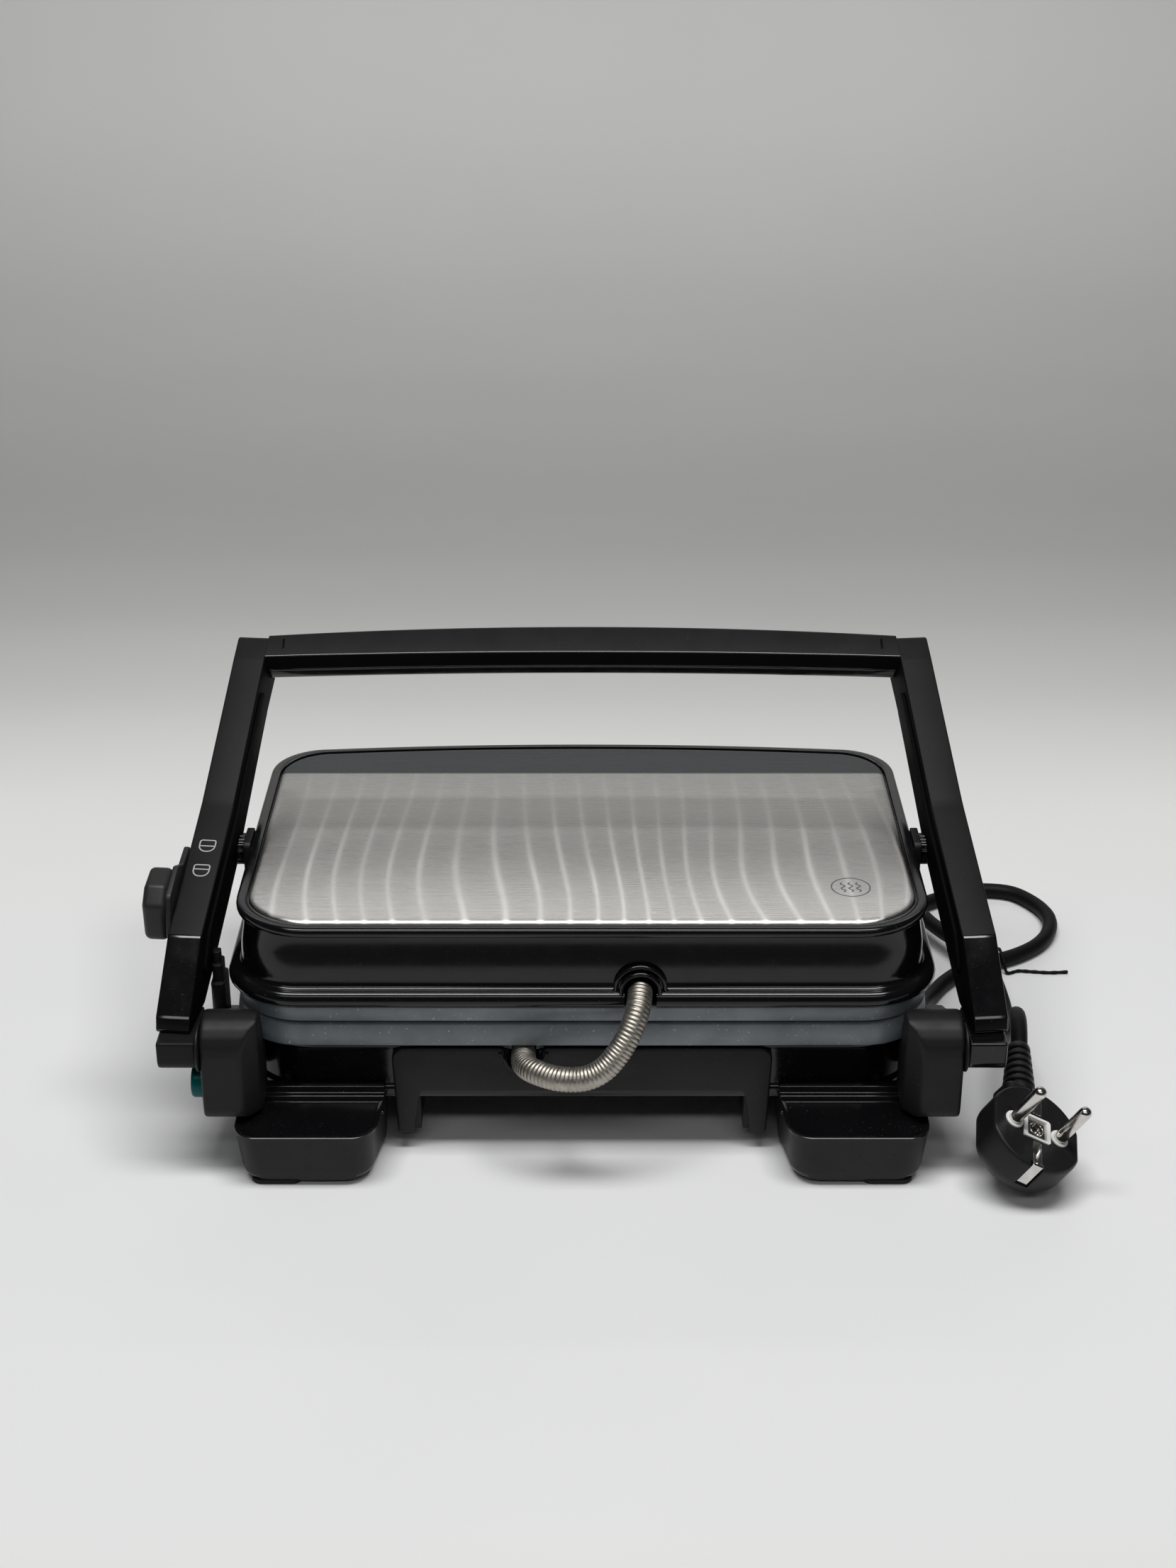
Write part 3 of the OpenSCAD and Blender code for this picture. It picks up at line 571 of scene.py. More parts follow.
def strain_relief():
    """Tapered strain relief with rings round it."""
    relief = [(0, -3.5), (5, -3.5), (5.5, -2.8), (5.5, 1.2), (5, 2)]
    for i in range(6):
        z, r = 3.4 + i * 3.9, 4.9 - i * 0.16
        relief += [(r, z), (r, z + 2), (r - 0.25, z + 2.2), (r - 0.8, z + 2.4), (r - 0.8, z + 3.4),
                   (r - 0.3, z + 3.6)]
    relief += [(3.9, GLAND_LENGTH - 0.6), (3.5, GLAND_LENGTH), (0, GLAND_LENGTH)]
    gland = lathe("lead_strain_relief", relief, 32, at=GLAND, caps=OPEN)
    return place(gland, "base", "lead_rubber", "cord_gland")


def plug_outline(r, flat):
    """Round outline with a flat on each side, where the plug is gripped."""
    points = []
    for k in range(96):
        a = 2 * pi * k / 96
        x, y = r * cos(a), r * sin(a)
        points.append((max(-flat, min(flat, x)), y))
    return points


def plug_shell():
    """Round plug with its sockets, a flat neck and a ringed tail."""
    body_profile = [(14, -9), (15.2, -8.8), (17.6, -6), (18.5, -4.2), (18.9, -2.6), (19, -1.5),
                    (19, 7.6), (18.8, 8.5), (18.2, 9)]
    plug_rings = [[(x, y, z) for x, y in plug_outline(r, r - 1.1)] for r, z in body_profile]
    plug = loft("plug_body_shell", plug_rings, at=PLUG)
    cut(plug, cuboid(-5.7, 5.7, -5.5, 5.5, 5.2, 12, at=PLUG))
    for y in (-18.2, 18.2):
        cut(plug, cuboid(-2.6, 2.6, y - 2.1, y + 2.1, -2, 12, at=PLUG))
    for x in (-PIN_X, PIN_X):
        cut(plug, lathe("hole", [(3.65, 7), (3.65, 12)], 40, at=PLUG @ moved(x, 0, 0)))
    bevelled(plug, 0.35, 2, 40)
    neck_section = filleted([(-9, -9, 3), (9, -9, 3), (8.2, 3.4, 3), (-8.2, 3.4, 3)], 6)
    neck = prism("neck", neck_section, 0, 25.6, along="y", bevel=1.6, segments=4, at=PLUG)
    tail = [(0, 24), (6.4, 24), (6.6, 24.8), (6.6, 27)]
    for i in range(6):
        y, r = 28 + i * 3.6, 6.1 - i * 0.3
        tail += [(r - 0.9, y), (r - 0.9, y + 0.7), (r, y + 1), (r, y + 2.6), (r - 0.3, y + 3)]
    tail += [(4.2, 49.8), (0, 49.8)]
    tail_piece = lathe("tail", tail, 32, caps=OPEN, at=PLUG @ moved(0, 0, -3) @ turn(-90, 0, 0))
    plug = join("plug_body_shell", [plug, neck, tail_piece])
    return place(plug, "base", "plug_black", "plug_body")


def plug_contacts():
    """The pins, and the white collar round the foot of each."""
    pin = [(0, 7.2), (2.4, 7.2), (2.4, 25.6), (2.3, 26.5), (1.95, 27.3), (1.2, 27.8), (0, 28)]
    collar = [(2.45, 7.2), (3.6, 7.2), (3.6, 9.2), (3.45, 9.4), (2.9, 9.45), (2.45, 9.3)]
    pins, collars = [], []
    for x in (-PIN_X, PIN_X):
        at = PLUG @ moved(x, 0, 0)
        pins.append(lathe("pin", pin, 32, at=at, caps=OPEN))
        collars.append(lathe("collar", collar, 40, at=at, closed=True))
    return (place(join("plug_contact_pins", pins), "base", "nickel", "plug_pins"),
            place(join("plug_pin_collars", collars), "base", "white_plastic", "plug_collars"))


def plug_socket():
    """White frame with the nickel socket plate and its cup inside it."""
    frame_out = rounded_box(5.6, -5.4, 5.4, 1.2)
    frame_in = rounded_box(4.1, -4.4, 4.4, 0.6)
    insert = loft("plug_socket_frame", [[(x, y, z) for x, y in o] for o, z in (
        (frame_out, 5.4), (frame_out, 9.3), (frame_out, 9.45), (frame_in, 9.45), (frame_in, 5.4))],
        closed=True, at=PLUG)
    place(insert, "base", "white_plastic", "plug_insert")
    plate = cuboid(-3.9, 3.9, -4.2, 4.2, 7.6, 8.7, name="plug_socket_plate", bevel=0.25, at=PLUG)
    cut(plate, lathe("hole", [(2.5, 5), (2.5, 12)], 40, at=PLUG))
    shade(plate)
    cup = lathe("cup", [(2.5, 8.6), (2.7, 8.8), (2.95, 8.7), (2.95, 5.4), (0, 5.4), (0, 5.7), (2.5, 5.7)], 40,
                at=PLUG, caps=OPEN)
    return insert, place(join("plug_socket_plate", [plate, cup]), "base", "nickel")


def earth_strips():
    """A nickel strip down each flat of the plug, bent over at the top."""
    clips = []
    section = rounded_box(2.1, -1.6, 9.7, 0.4, 4)
    for s in (-1, 1):
        clips.append(prism("clip", section, s * 16.6, s * 18.3, along="y", bevel=0.3, at=PLUG))
        y0, y1 = sorted((s * 6.6, s * 17.2))
        clips.append(cuboid(-1.8, 1.8, y0, y1, 8.8, 9.45, bevel=0.2, at=PLUG))
    return place(join("plug_earth_strips", clips), "base", "nickel", "plug_earth_clips")


def wire_tie():
    """Twisted wire tie, bent over the lead, with its ends on the floor."""
    route = [(166, 71.5, 0.8), (172, 73.2, 1.5), (176.5, 72.2, 6.2), (179, 67.6, 8.8), (180.4, 63, 5.4),
             (181.4, 61.4, 1.6), (183, 61.2, 0.8), (187, 63, 0.8), (193, 62.4, 0.8), (200, 61.6, 0.8),
             (208, 62, 0.9)]
    tie = tube("lead_tie_wire", smooth_path(route, 10), lambda i, k: 0.68 + 0.08 * sin(i * 1.1), 12)
    return place(tie, "base", "lead_rubber", "cord_tie")


cord = mains_lead()
gland = strain_relief()
plug = plug_shell()
plug_pins, plug_collars = plug_contacts()
insert, socket_plate = plug_socket()
plug_clips = earth_strips()
tie = wire_tie()

# ---------- base ----------

BASE = (127.5, -68, 92, 28, 22, 5)
NOTCH_X, NOTCH_Z = -21.7, 41.6
GROMMET_X, GROMMET_Z = 21.4, 70.5


def base_wall():
    """Glossy wall with a bead along its lower and its upper edge."""
    shell = loft("base_wall", plan_rings(BASE, [
        (3.6, 22.2), (0.9, 22), (0.3, 22.3), (0, 23), (0, 25.4), (0.25, 26.2), (0.9, 26.8),
        (1.5, 27.4), (1.6, 29), (1.5, 41.6), (1.3, 42.5), (0.5, 43), (0.1, 43.5), (0, 44.1),
        (0.25, 44.7), (0.8, 45), (3.2, 45), (3.6, 44.6)]), closed=True)
    notch = filleted([(NOTCH_X - 5.9, 35.7, 5.8), (NOTCH_X + 5.9, 35.7, 5.8), (NOTCH_X + 5.9, 50, 0),
                      (NOTCH_X - 5.9, 50, 0)])
    cut(shell, prism("cut", notch, -80, -60, along="y", bevel=0))
    for x in (-14, 14):
        lamp_at = moved(x, 86, 34) @ turn(-90, 0, 0)
        cut(shell, lathe("cut", [(3, 0), (3, 9)], 32, at=lamp_at))
    shade(shell)
    ledge = loft("ledge", plan_rings(BASE, [(3.4, 41), (11, 41), (11, 43.5), (3.4, 43.5)]), closed=True)
    place(join("base_wall", [shell, ledge]), "base", "black_gloss", "base_housing")


FOOT_SOLE = [(7.4, 0.7), (5.8, 0.85), (4.4, 1.5), (3.3, 2.7), (2.6, 4.4), (2.1, 6.6)]  # (inset, height)
FOOT_RIM = [(0.7, 3), (0.35, 1.2), (0.25, 0.7), (0.35, 0.25), (0.75, 0.02), (1.4, 0), (2.2, 0.35),
            (3.4, 0.5)]  # (inset, depth under the top)


def foot(side, y_wall, y_end, inner_wall, inner_end, outer, top_wall, top_end):
    """Foot with drafted sides and a sharp rim; its top slopes from the wall to its end."""
    sign = 1 if y_end > y_wall else -1

    def ring(inset, height):
        y_tip = y_end - sign * inset * 0.8
        outline = filleted([(outer - inset, y_wall, 0.5), (outer - inset, y_tip, 8.5),
                            (inner_end + inset, y_tip, 10), (inner_wall + inset * 0.6, y_wall, 0.5)], 10)
        return [(side * x, y, height((y - y_wall) / (y_end - y_wall))) for x, y in outline]

    sole = [ring(inset, lambda t: z) for inset, z in FOOT_SOLE]
    rim = [ring(inset, lambda t: top_wall + (top_end - top_wall) * t - depth) for inset, depth in FOOT_RIM]
    return loft("foot", sole + rim)


def base_feet():
    """Four feet, the skirts between them and the glossy steps above the rear ones."""
    skirt = filleted([(120.5, 14, 1.5), (127.3, 14, 2.5), (127.3, 24, 0), (120.5, 24, 0)])
    step = filleted([(-66, 28.4, 0), (-70, 28.1, 0.5), (-71, 25.9, 0.6), (-72.6, 25.4, 0.7),
                     (-73.6, 23.4, 0.8), (-79, 22.6, 0), (-79, 21.5, 0), (-66, 21.5, 0)], 6)
    pieces = []
    for side in (-1, 1):
        at = mirror(side)
        pieces.append(foot(side, -65.5, -96, 72.6, 76.2, 128.2, 24.6, 22.2))
        pieces.append(foot(side, 62, 90, 75, 77, 127.3, 24, 24))
        pieces.append(prism("skirt", skirt, -41, 62, along="y", bevel=0.8, at=at))
        pieces.append(prism("step", step, 73.6, 122.5, bevel=0.5, at=at))
    feet = place(join("base_feet", pieces), "base", "black_gloss", more=[MATERIALS["black_matte"]])
    for face in feet.data.polygons:
        upright = abs(face.normal.z) < 0.4
        face.material_index = 1 if upright and face.center.z < 21.5 * MM else 0


def rear_panel():
    """Matte panel across the middle of the rear, with two legs and a notch for the conduit."""
    top_z, lip_y = 44.3, -70.1
    panel = filleted([
        (-69.4, 7, 1.6), (-71, top_z, 5), (NOTCH_X - 7.4, top_z, 1.6), (NOTCH_X - 6.1, 35.6, 5.6),
        (NOTCH_X + 6.1, 35.6, 5.6), (NOTCH_X + 7.4, top_z, 1.6), (71, top_z, 5), (69.4, 7, 1.6),
        (63.6, 7, 1.4), (60.6, 25.6, 2.6), (-60.6, 25.6, 2.6), (-63.6, 7, 1.4)], 8)
    plate = prism("rear_panel", panel, -69.9, -63, along="y", bevel=0.9)
    lip_path = [Vector((NOTCH_X - 8.6, lip_y, top_z - 1.6)), Vector((NOTCH_X - 7.9, lip_y, top_z - 4))]
    for a in range(190, 351, 16):
        c, s = cos(radians(a)), sin(radians(a))
        lip_path.append(Vector((NOTCH_X + 7.3 * c, lip_y, 41 + 6.9 * s)))
    lip_path += [Vector((NOTCH_X + 7.9, lip_y, top_z - 4)), Vector((NOTCH_X + 8.6, lip_y, top_z - 1.6))]
    lip = tube("notch_lip", smooth_path(lip_path, 3), lambda i, k: 0.75, 10)
    place(join("rear_panel", [plate, lip]), "base", "black_matte")


base_wall()
base_feet()
rear_panel()

# ---------- plates ----------

RIB_PITCH = 12
PLATE = (130, -72.5, 92.5, 27, 21, 5)


def ribs_mesh(name, z_foot, z_top, y0, y1):
    """Ribs with rounded crests and sloping ends."""
    pieces = []
    up = 1 if z_top > z_foot else -1
    height = abs(z_top - z_foot)
    half = [(3.1, 0), (2.5, 0.35), (1.75, height * 0.55), (1.3, height - 0.7), (0.95, height - 0.22),
            (0.45, height)]
    section = [(-u, v) for u, v in half] + half[::-1]
    end = [(0, 0, 0.55), (0.6, 0.45, 0.8), (1.6, 0.85, 0.95), (3, 1, 1)]
    stations = [(y0 + d, share, narrow) for d, share, narrow in end]
    stations += [(y1 - d, share, narrow) for d, share, narrow in reversed(end)]
    for i in range(-9, 10):
        rings = [[(i * RIB_PITCH + u * narrow, y, z_foot + up * (v * share - 0.3)) for u, v in section]
                 for y, share, narrow in stations]
        pieces.append(loft("rib", rings))
    return join(name, pieces)


def lower_plate():
    lower = loft("lower_plate_casting", plan_rings(PLATE, [
        (12, 45.2), (12, 46.6), (4, 47), (0.9, 47), (0.3, 47.3), (0.05, 47.9), (0.35, 52),
        (0.75, 55), (1, 55.8), (1.6, 56.2), (6, 56.2), (7, 55.7), (7.6, 54.6), (9, 50.8),
        (9.8, 49.9), (11.2, 49.5)]))
    drain = filleted([(-9, 49.6, 2), (9, 49.6, 2), (10.5, 60, 0), (-10.5, 60, 0)])
    cut(lower, prism("cut", drain, 78, 100, along="y", bevel=0))
    ribs = ribs_mesh("ribs", 49.5, 55.4, -58, 68)
    place(join("lower_plate_casting", [lower, ribs]), "base", "plate_coating", "lower_plate")


def upper_plate():
    upper = loft("upper_plate_casting", plan_rings(PLATE, [
        (12, 66), (12, 64.2), (4, 64), (0.9, 64), (0.3, 63.7), (0.05, 63.1), (0.45, 60),
        (0.95, 57.9), (1.2, 57.3), (1.8, 57), (6, 57), (7, 57.5), (7.6, 58.4), (9, 60.4),
        (9.8, 61.1), (11.2, 61.5)]))
    ribs = ribs_mesh("ribs", 61.5, 57.8, -58, 76)
    place(join("upper_plate_casting", [upper, ribs]), "lid", "plate_coating", "upper_plate")


lower_plate()
upper_plate()

# ---------- lid ----------

RIM = (132.5, -74, 94, 28, 22, 5)
TOP = (128.5, -70.8, 92, 28, 22, 5)
GAP = (124.6, -65.6, 87.6, 24.6, 20.6, 5)


def hood(r_out, y_front, z_low):
    """Arched collar round the conduit's opening."""
    outer = [(GROMMET_X + r_out, z_low)] + arc(GROMMET_X, GROMMET_Z, r_out, 0, 180, 24)
    outer += [(GROMMET_X - r_out, z_low)]
    inner = [(GROMMET_X - 5.8, z_low)] + arc(GROMMET_X, GROMMET_Z, 5.8, 180, 0, 24)
    inner += [(GROMMET_X + 5.8, z_low)]
    return prism("hood", outer + inner, y_front, -64, along="y", bevel=0.6, segments=4)


def arch_lip(r, y, radius, z_low, spread):
    """Round bead over the arch, spreading into the rim at its feet."""
    line = [(GROMMET_X + r + spread, y - 0.4, z_low), (GROMMET_X + r + spread * 0.2, y, z_low + 1.4)]
    line += [(u, y, v) for u, v in arc(GROMMET_X, GROMMET_Z, r, 0, 180, 16)]
    line += [(GROMMET_X - r - spread * 0.2, y, z_low + 1.4), (GROMMET_X - r - spread, y - 0.4, z_low)]
    return tube("lip", smooth_path(line, 3), lambda i, k: radius, 14)


def lid_shell():
    """Glossy shell with a rounded rim, a gap round the panel and the conduit's arch."""
    lid_rings = plan_rings(RIM, [
        (9.5, 90), (9.5, 66), (8, 64.6), (1.4, 64.4), (0.6, 64.6), (0.15, 65.1), (0, 65.9), (0.05, 66.8),
        (0.22, 67.6), (0.52, 68.3), (0.95, 68.9), (1.5, 69.36), (2.15, 69.66), (2.9, 69.85),
        (3.7, 70.08), (4.35, 70.5), (4.8, 71.2), (5.02, 72.2), (5.1, 73.6), (5.2, 76), (5.42, 78.5),
        (5.76, 81), (6.2, 83.5), (6.62, 86), (6.85, 88.4), (6.95, 90.6), (6.95, 91.6)])
    lid_rings += plan_rings(TOP, [(0.5, 91.7), (0.08, 92.2), (0, 93.2), (0.15, 94.1), (0.6, 94.75),
                                  (1.3, 95)])
    lid_rings += plan_rings(GAP, [(-0.25, 95), (-0.05, 94.85), (0, 94.6), (0, 93.2), (4, 93)])
    lid = loft("lid_shell", lid_rings)
    arch = filleted([(GROMMET_X - 5.9, 60, 0), (GROMMET_X + 5.9, 60, 0),
                     (GROMMET_X + 5.9, GROMMET_Z + 5.9, 5.85), (GROMMET_X - 5.9, GROMMET_Z + 5.9, 5.85)], 14)
    cut(lid, prism("cut", arch, -80, -58, along="y", bevel=0))
    shade(lid, 32)
    collars = [hood(8.9, -70.6, 65.4), hood(7, -72.2, 65.4), arch_lip(9, -70.6, 0.95, 68.2, 1.6),
               arch_lip(7, -72.4, 0.85, 66.2, 0)]
    place(join("lid_shell", [lid, *collars]), "lid", "black_gloss", "lid_housing", "conduit_grommet")


def lid_panel():
    """Brushed sheet; its UV map gives the brushing its direction."""
    panel_rings = plan_rings((124, -65, 87, 24, 20, 5), [
        (1.5, 93.3), (0.2, 93.3), (0, 93.5), (0, 94.2), (0.25, 94.7), (0.8, 95.05), (1.8, 95.35),
        (2.6, 95.45), (40, 95.45)])
    steel = loft("lid_panel_sheet", panel_rings)
    uv = steel.data.uv_layers.new(name="UVMap")
    for loop in steel.data.loops:
        co = steel.data.vertices[loop.vertex_index].co
        uv.data[loop.index].uv = (co.y * 4, -co.x * 4)
    place(steel, "lid", "panel_steel", "lid_panel")


lid_shell()
lid_panel()


def ribbon(name, path, width, height, at, closed=False):
    """A thin flat band along a path drawn in a plane."""
    rings = []
    n = len(path)
    for i in range(n):
        p = Vector(path[i])
        a = Vector(path[(i - 1) % n] if closed or i else path[0])
        b = Vector(path[(i + 1) % n] if closed or i < n - 1 else path[-1])
        t = (b - a).normalized()
        o = Vector((-t.y, t.x)) * width / 2
        rings.append([(p.x + o.x, p.y + o.y, -0.1), (p.x + o.x, p.y + o.y, height),
                      (p.x - o.x, p.y - o.y, height), (p.x - o.x, p.y - o.y, -0.1)])
    return loft(name, rings, closed=closed, at=at)


def hot_surface_mark():
    """Generic mark: a ring with three wavy lines."""
    at = moved(100.3, -38.5, 95.45)
    mark = [ribbon("mark", arc(0, 0, 7.2, 0, 352.5, 47), 0.55, 0.04, at, closed=True)]
    for x in (-2.9, 0, 2.9):
        wavy = [(x + 0.75 * sin(k / 20 * 4 * pi), -3.6 + 7.2 * k / 20) for k in range(21)]
        mark.append(ribbon("mark", wavy, 0.6, 0.04, at))
    place(join("hot_surface_mark", mark), "lid", "panel_steel", material=ETCHED)


hot_surface_mark()

# ---------- arms and handle ----------

SIDES = ((-1, "left"), (1, "right"))
HINGE_Y, HINGE_Z = -81, 52
PIVOT_Y, PIVOT_Z = 4, 90
SPLAY = 5.6  # degrees by which the arms close in towards the handle
ARM_W = 12.8
ARM_INNER = 142.8  # the arms' inner faces, at the hinge
ARM_TIP_Y = -53.5  # behind this the upper side of an arm is glossy too
FLUTES, FLUTE_DEPTH = 14, 0.22

ARM_OUTLINE = filleted([
    (-81, 57, 1.4), (-79.45, 62.6, 0.8), (-78.75, 63.45, 0.8), (-56, 84, 5), (3, 110, 60),
    (65.5, 144.6, 10), (77, 150.4, 2.6), (86.6, 131.4, 2.6), (65.5, 121.5, 14), (3, 84.5, 40),
    (-46, 62, 10), (-58, 57, 5)], 10)
LINER_OUTLINE = filleted([(-62, 66, 3), (-48, 82, 6), (3, 105, 30), (58, 135.5, 4), (62, 125, 4),
                          (3, 91, 30), (-42, 70, 8)], 8)


def arm_frame(side):
    """Frame of an arm: x runs outwards from its inner face."""
    return mirror(side) @ moved(ARM_INNER, HINGE_Y, 0) @ turn(0, 0, SPLAY) @ moved(0, -HINGE_Y, 0)


def arm_beam(side, word):
    """Arm with a lacquered top, glossy outer sides and a shaded inner side."""
    at = arm_frame(side)
    arm = prism("arm_beam_" + word, ARM_OUTLINE, 0, ARM_W, bevel=0.9, segments=4, at=at)
    place(arm, "arms", "dark_grey", "arm_" + word, more=(ARM_GLOSS, ARM_SHADE))
    inward = Vector(at.col[0][:3]) * -1
    for face in arm.data.polygons:
        top = face.normal.z > 0.5 and face.center.y > ARM_TIP_Y * MM
        face.material_index = 0 if top else 2 if face.normal.dot(inward) > 0.8 else 1


def arm_liner(side, word):
    liner = prism("arm_liner_" + word + "_worked", LINER_OUTLINE, -1.3, 0.2, bevel=0.4, at=arm_frame(side))
    place(liner, "arms", "black_gloss", "arm_liner_" + word, material=ARM_SHADE)


def pivot_sleeve(side, word):
    """Fluted spacer on the pivot."""
    at = mirror(side) @ moved(138.6, PIVOT_Y, PIVOT_Z) @ turn(0, 90, 0)
    angles = [2 * pi * k / 160 for k in range(160)]
    rings = []
    for r, z in ((3.5, -8.6), (5.6, -8.6), (5.9, -8.2), (5.9, 1), (5.6, 1.4), (3.5, 1.4)):
        fluted = [(a, r + FLUTE_DEPTH * cos(FLUTES * a)) for a in angles]
        rings.append([(reach * cos(a), reach * sin(a), z) for a, reach in fluted])
    place(loft("pivot_sleeve_" + word, rings, at=at, sharp=60), "arms", "black_gloss")


def position_mark(name, y, bar_y):
    """D-shaped mark with a bar across it, on the sloping top of the left arm."""
    slope = atan2(26, 59)  # of the arm's top between (-56, 84) and (3, 110)
    z = 110 + (y - 3) * tan(slope)
    at = arm_frame(-1) @ moved(6.3, y, z + 0.02) @ Matrix.Rotation(slope, 4, "X")
    outline = filleted([(-3, 2.6, 0.9), (3, 2.6, 0.9), (3, -2.8, 2.7), (-3, -2.8, 2.7)], 6)
    pieces = [ribbon("mark", outline, 0.48, 0.05, at, closed=True),
              ribbon("mark", [(-2.9, bar_y), (2.9, bar_y)], 0.48, 0.05, at)]
    place(join(name, pieces), "arms", "dark_grey", material=MARK_INK)


SLOPE = radians(27)  # of the handle's top
HANDLE_NEAR = (66.5, 145.2)  # y and z of the top's near edge
HANDLE_DEPTH = 12
HANDLE_BOW = (2.4, 4.9)  # of the near and the far edge


def handle_band(name, section):
    """Sweeps a section of (across, down) points along the bowed bar, between the arms."""
    steps = 48
    near, far = HANDLE_BOW
    rings = []
    for i in range(steps + 1):
        t = -1 + 2 * i / steps
        ring = []
        for across, down in section:
            bow = near + (far - near) * min(1, max(0, across / HANDLE_DEPTH))
            u = across + bow * (1 - t * t)
            y = HANDLE_NEAR[0] + u * cos(SLOPE) + down * sin(SLOPE)
            z = HANDLE_NEAR[1] + u * sin(SLOPE) - down * cos(SLOPE)
            ring.append((t * (ARM_INNER + 0.3 - (y - HINGE_Y) * tan(radians(SPLAY))), y, z))
        rings.append(ring)
    return loft(name, rings)


def handle_bar():
    """Bar whose near face hangs straight down from its sloping top."""
    section = filleted([(0, 0, 1), (HANDLE_DEPTH, 0, 1.6), (HANDLE_DEPTH, 9, 0.5), (-2.1, 6.9, 0.9),
                        (-2.3, 5.4, 1)], 6)
    bar = handle_band("handle_bar_top", section)
    place(bar, "arms", "dark_grey", "handle_bar", more=(ARM_GLOSS, ARM_SHADE))
    for face in bar.data.polygons:
        near_face = face.normal.y < -0.9 and face.normal.z < 0.3
        face.material_index = 0 if face.normal.z > 0.86 else 2 if near_face else 1


def handle_end_slot(side, word):
    at = moved(side * 121.5, *HANDLE_NEAR) @ Matrix.Rotation(SLOPE, 4, "X")
    end_slot = prism("handle_end_slot_" + word, rounded_box(0.45, 3.4, 9.6, 0.4, 4), -0.6, 0.16, along="z",
                      bevel=0.12, at=at)
    place(end_slot, "arms", "black_gloss")


def handle_grip():
    section = filleted([(-1.5, 7.3, 0.4), (11.1, 9.2, 0.3), (10.6, 15.4, 2.4), (0.4, 14.8, 3)], 6)
    place(handle_band("handle_bar_grip", section), "arms", "black_gloss", "handle_grip")


for side, word in SIDES:
    arm_beam(side, word)
    arm_liner(side, word)
    pivot_sleeve(side, word)
position_mark("position_mark_open", -16.4, -0.2)
position_mark("position_mark_locked", -27.4, 0.5)
handle_bar()
for side, word in SIDES:
    handle_end_slot(side, word)
handle_grip()

# ---------- lever, button, spring ----------

BUTTON_Y, BUTTON_Z = -75, 34
COIL_TURNS, COIL_STEPS = 3, 90


def height_lever():
    """Flat plate on the outside of the left arm, with a thick rounded knob on it."""
    at = arm_frame(-1)
    plate_outline = filleted([(-50, 77, 2), (-30, 87, 3), (-13, 94, 1.5), (-16, 101, 1.5), (-26, 98, 2),
                              (-33, 101, 3), (-47, 95, 3)], 6)
    knob_outline = filleted([(-48.6, 77.5, 3.5), (-42, 75.2, 3.5), (-31, 95, 3), (-32.6, 101, 2.5),
                             (-44, 98, 3), (-49.2, 92, 3.5)], 8)
    plate = prism("plate", plate_outline, ARM_W + 0.4, ARM_W + 2.6, bevel=0.5, at=at)
    knob = prism("knob", knob_outline, ARM_W + 2.2, ARM_W + 11.4, bevel=2.6, segments=6, at=at)
    place(join("height_lever_knob", [plate, knob]), "lever", "lever_grey", "lock_lever")


def release_button():
    at = moved(-144.2, BUTTON_Y, BUTTON_Z) @ turn(0, 90, 0)
    profile = [(0, 0.25), (4.2, 0.15), (5.2, 0), (5.9, 0.2), (6.25, 0.8), (6.3, 1.4), (6.3, 7.2), (0, 7.2)]
    button = lathe("release_button_cap", profile, 48, caps=OPEN, at=at)
    place(button, "button", "button_teal", "release_button")


def release_spring():
    """Coil that is squeezed between the bore's end and the button."""
    path = []
    for k in range(COIL_STEPS + 1):
        t = k / COIL_STEPS
        a = COIL_TURNS * 2 * pi * t
        path.append(Vector((-136.6 + 3.1 * t, BUTTON_Y + 3.4 * cos(a), BUTTON_Z + 3.4 * sin(a))))
    coil = tube("release_spring_coil", path, lambda i, k: 0.32, 10)
    bridge(coil, slot_of["release_spring"])
    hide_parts("release_spring")


height_lever()
release_button()
release_spring()

# ---------- conduit ----------

CONDUIT_ROUTE = [
    (NOTCH_X, -62.8, NOTCH_Z), (NOTCH_X, -70, NOTCH_Z), (-21.2, -77.5, 42.4), (-17, -84.8, 43.8),
    (-8.6, -90, 44.2), (0.5, -91.6, 45.2), (7.4, -90.8, 48.2), (12.9, -88.4, 53.6), (17.4, -84.6, 60.4),
    (20.4, -78.8, 66.8), (GROMMET_X, -70, GROMMET_Z), (GROMMET_X, -63, GROMMET_Z)]
CONDUIT_SPLIT = CONDUIT_ROUTE[8]
PITCH, PER_TURN, CONDUIT_R = 1.45, 8, 4.62
conduit_line = resampled(smooth_path(CONDUIT_ROUTE, 24), PITCH / PER_TURN)


def wound(i, share):
    """Spiral of flat strip: a rounded ridge for each turn."""
    phase = (i / PER_TURN + share) % 1
    return CONDUIT_R - 0.34 * (1 - sin(pi * phase) ** 0.7)


def conduit():
    """The wound tube in two runs, which meet at a point of its route."""
    split = min(range(len(conduit_line)),
                key=lambda i: (conduit_line[i] - Vector(CONDUIT_SPLIT)).length)
    low = tube("conduit_lower_run", conduit_line[:split + 1], wound, 24, caps=(True, False), sharp=75)
    high = tube("conduit_upper_run", conduit_line[split:], lambda i, k: wound(i + split, k), 24,
                caps=(False, True), sharp=75)
    bridge(low, "conduit_steel")
    bridge(high, "conduit_steel")
    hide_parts("flex_conduit")


conduit()

# ---------- pieces at the hinge, and pieces worked up from their CAD shape ----------


def hinge_washer(side, word):
    at = mirror(side) @ moved(139.1, HINGE_Y, HINGE_Z) @ turn(0, 90, 0)
    profile = [(3.2, 0), (8.6, 0), (9, 0.3), (9, 0.8), (8.6, 1.1), (3.2, 1.1)]
    washer = lathe("hinge_washer_" + word, profile, 48, closed=True, at=at)
    place(washer, "base", "black_matte")


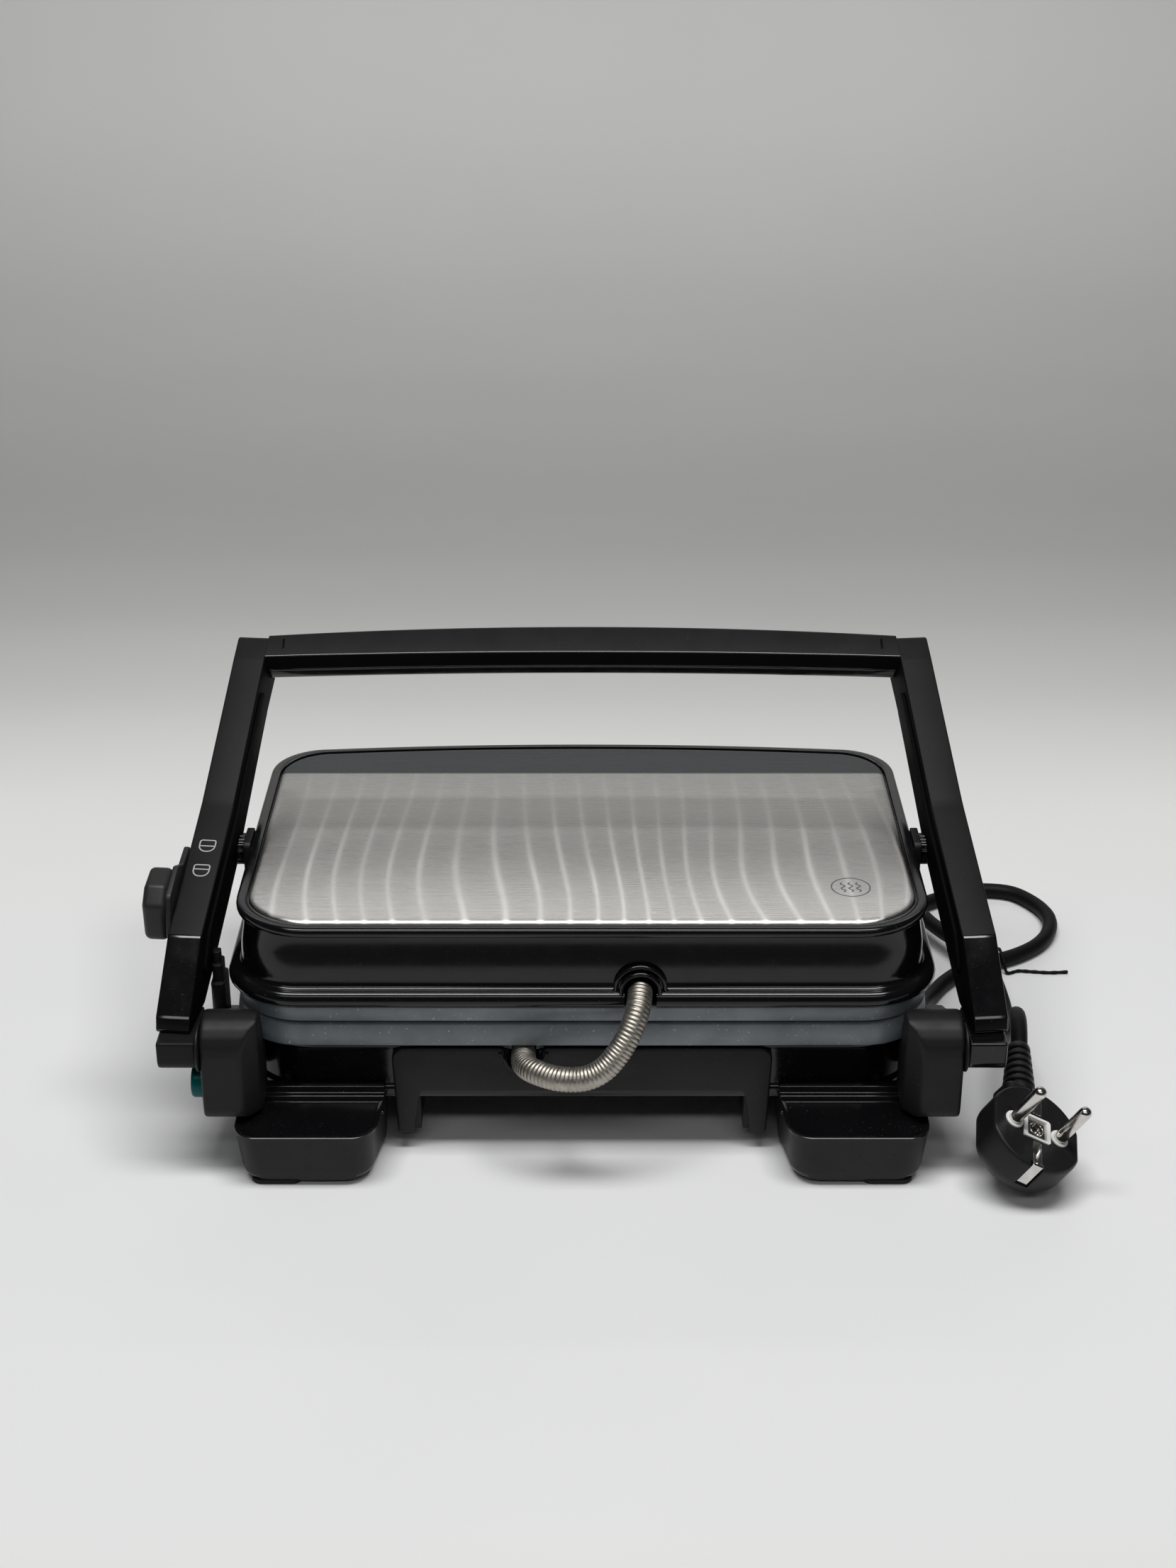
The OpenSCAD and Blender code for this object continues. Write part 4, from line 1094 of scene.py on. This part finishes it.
def hinge_block(side, word):
    """Soft block with a slanted inner corner; the left one has the button's bore."""
    node = "hinge_block_" + word
    piece = cad_copy(node, node + "_soft")
    corner = [(side * x, y) for x, y in ((112, -95), (126, -95), (124.6, -88.4), (117.4, -80), (112, -80))]
    cut(piece, prism("cut", corner, 10, 75, along="z", bevel=0))
    softened(piece, 0.8, 9)
    if word == "left":
        bore_at = moved(-145, BUTTON_Y, BUTTON_Z) @ turn(0, 90, 0)
        cut(piece, lathe("bore", [(6.42, 0), (6.42, 12)], 64, at=bore_at))
    place(piece, "base", slot_of[node], node)


def hinge_eye(word):
    node = "hinge_eye_" + word
    place(softened(cad_copy(node, node + "_soft"), 0.7, 7), "arms", slot_of[node], node)


for side, word in SIDES:
    hinge_washer(side, word)
for side, word in SIDES:
    hinge_block(side, word)
for _, word in SIDES:
    hinge_eye(word)

BEVELLED = (("latch_post", "base", 0.5), ("base_bottom_cover", "base", 0.6), ("foot_pads", "base", 0.4),
            ("drip_tray", "tray", 0.6), ("pivot_block_left", "lid", 0.4), ("pivot_block_right", "lid", 0.4),
            ("power_lamp", "base", 0.2), ("ready_lamp", "base", 0.2), ("hinge_pin_left", "base", 0.5),
            ("hinge_pin_right", "base", 0.5))
for node, body, width in BEVELLED:
    place(bevelled(cad_copy(node, node + "_worked"), width), body, slot_of[node], node)

# ---------- studio ----------

# painted shade: the paper is darkest in front (y + z under -0.3), falls to under half tone on the floor
# behind the grill and brightens again up the sweep
TONE_START, TONE_END = -0.4, 1.6
PAINTED_SHADE_TONES = [(-0.4, 0.16), (-0.34, 0.25), (-0.3, 0.98), (0.17, 1), (0.25, 0.94), (0.35, 0.75), (0.464, 0.58),
         (0.57, 0.48), (0.66, 0.44), (0.76, 0.44), (0.87, 0.465), (1, 0.49), (1.2, 0.54), (1.4, 0.65),
         (1.6, 0.72)]  # (y + z along the paper, tone of the painted shade); past the last one the tone stays


def paper_material():
    """White paper with painted shade: its tone changes along the sweep."""
    g = Graph("paper")
    place_at = g.add("SeparateXYZ", {0: g.coord}).outputs
    along = g.math("ADD", place_at[1], place_at[2])
    painted_shade_ramp = g.add("ValToRGB", {0: g.ranged(along, TONE_START, TONE_END, 0, 1)})
    painted_shade_ramp.color_ramp.interpolation = "CARDINAL"
    elements = painted_shade_ramp.color_ramp.elements
    while len(elements) < len(PAINTED_SHADE_TONES):
        elements.new(0.5)
    for element, (at, share) in zip(elements, PAINTED_SHADE_TONES):
        element.position = (at - TONE_START) / (TONE_END - TONE_START)
        element.color = (share, share, share * 0.985, 1)
    tone = g.mix(g.swing(g.noise(6, 3), 0, 1), (0.775, 0.777, 0.778), (0.795, 0.795, 0.795))
    g.set("Base Color", g.mix(1, tone, painted_shade_ramp.outputs[0], "MULTIPLY"))
    g.set("Roughness", 0.75)
    g.set("Specular IOR Level", 0.2)
    g.set("Normal", g.bump(g.noise(260, 4), 0.05, 0.0005))
    return g.material


def sweep():
    """Paper floor that curves up into the backdrop."""
    radius, flat, top, half = 0.34, 1, 2.4, 1.8
    profile = [(-1.6, 0), (-0.3, 0), (flat, 0)]
    profile += [(flat + radius * sin(radians(a)), radius - radius * cos(radians(a)))
                for a in range(5, 91, 5)]
    profile.append((flat + radius, top))
    mesh = bpy.data.meshes.new("paper_sweep")
    verts = [(x, y, z) for y, z in profile for x in (-half, half)]
    faces = [(2 * i, 2 * i + 1, 2 * i + 3, 2 * i + 2) for i in range(len(profile) - 1)]
    mesh.from_pydata(verts, [], faces)
    mesh.shade_smooth()
    paper = add_object("paper_sweep", mesh)
    mesh.materials.append(paper_material())


def area_light(name, at, aim, size, power):
    data = bpy.data.lights.new(name, "AREA")
    data.shape = "RECTANGLE"
    data.size, data.size_y = size
    data.energy = power
    light = add_object(name, data)
    light.location = at
    light.rotation_euler = (Vector(aim) - Vector(at)).to_track_quat("-Z", "Y").to_euler()


sweep()
area_light("overhead", (0, -0.25, 1.5), (0, -0.1, 0), (1.35, 0.4), 20.4)
area_light("backdrop_wash", (0, 0.98, 0.95), (0, 1.34, 0.3), (1.6, 0.25), 5)
area_light("front_fill", (0, -1.25, 1.35), (0, -0.05, 0), (2, 0.2), 4.6)

world = bpy.data.worlds.new("studio")
world.use_nodes = True
background = world.node_tree.nodes["Background"]
background.inputs["Color"].default_value = (0.9, 0.93, 1, 1)
background.inputs["Strength"].default_value = 0.035
scene.world = world
scene.view_settings.view_transform = "Standard"
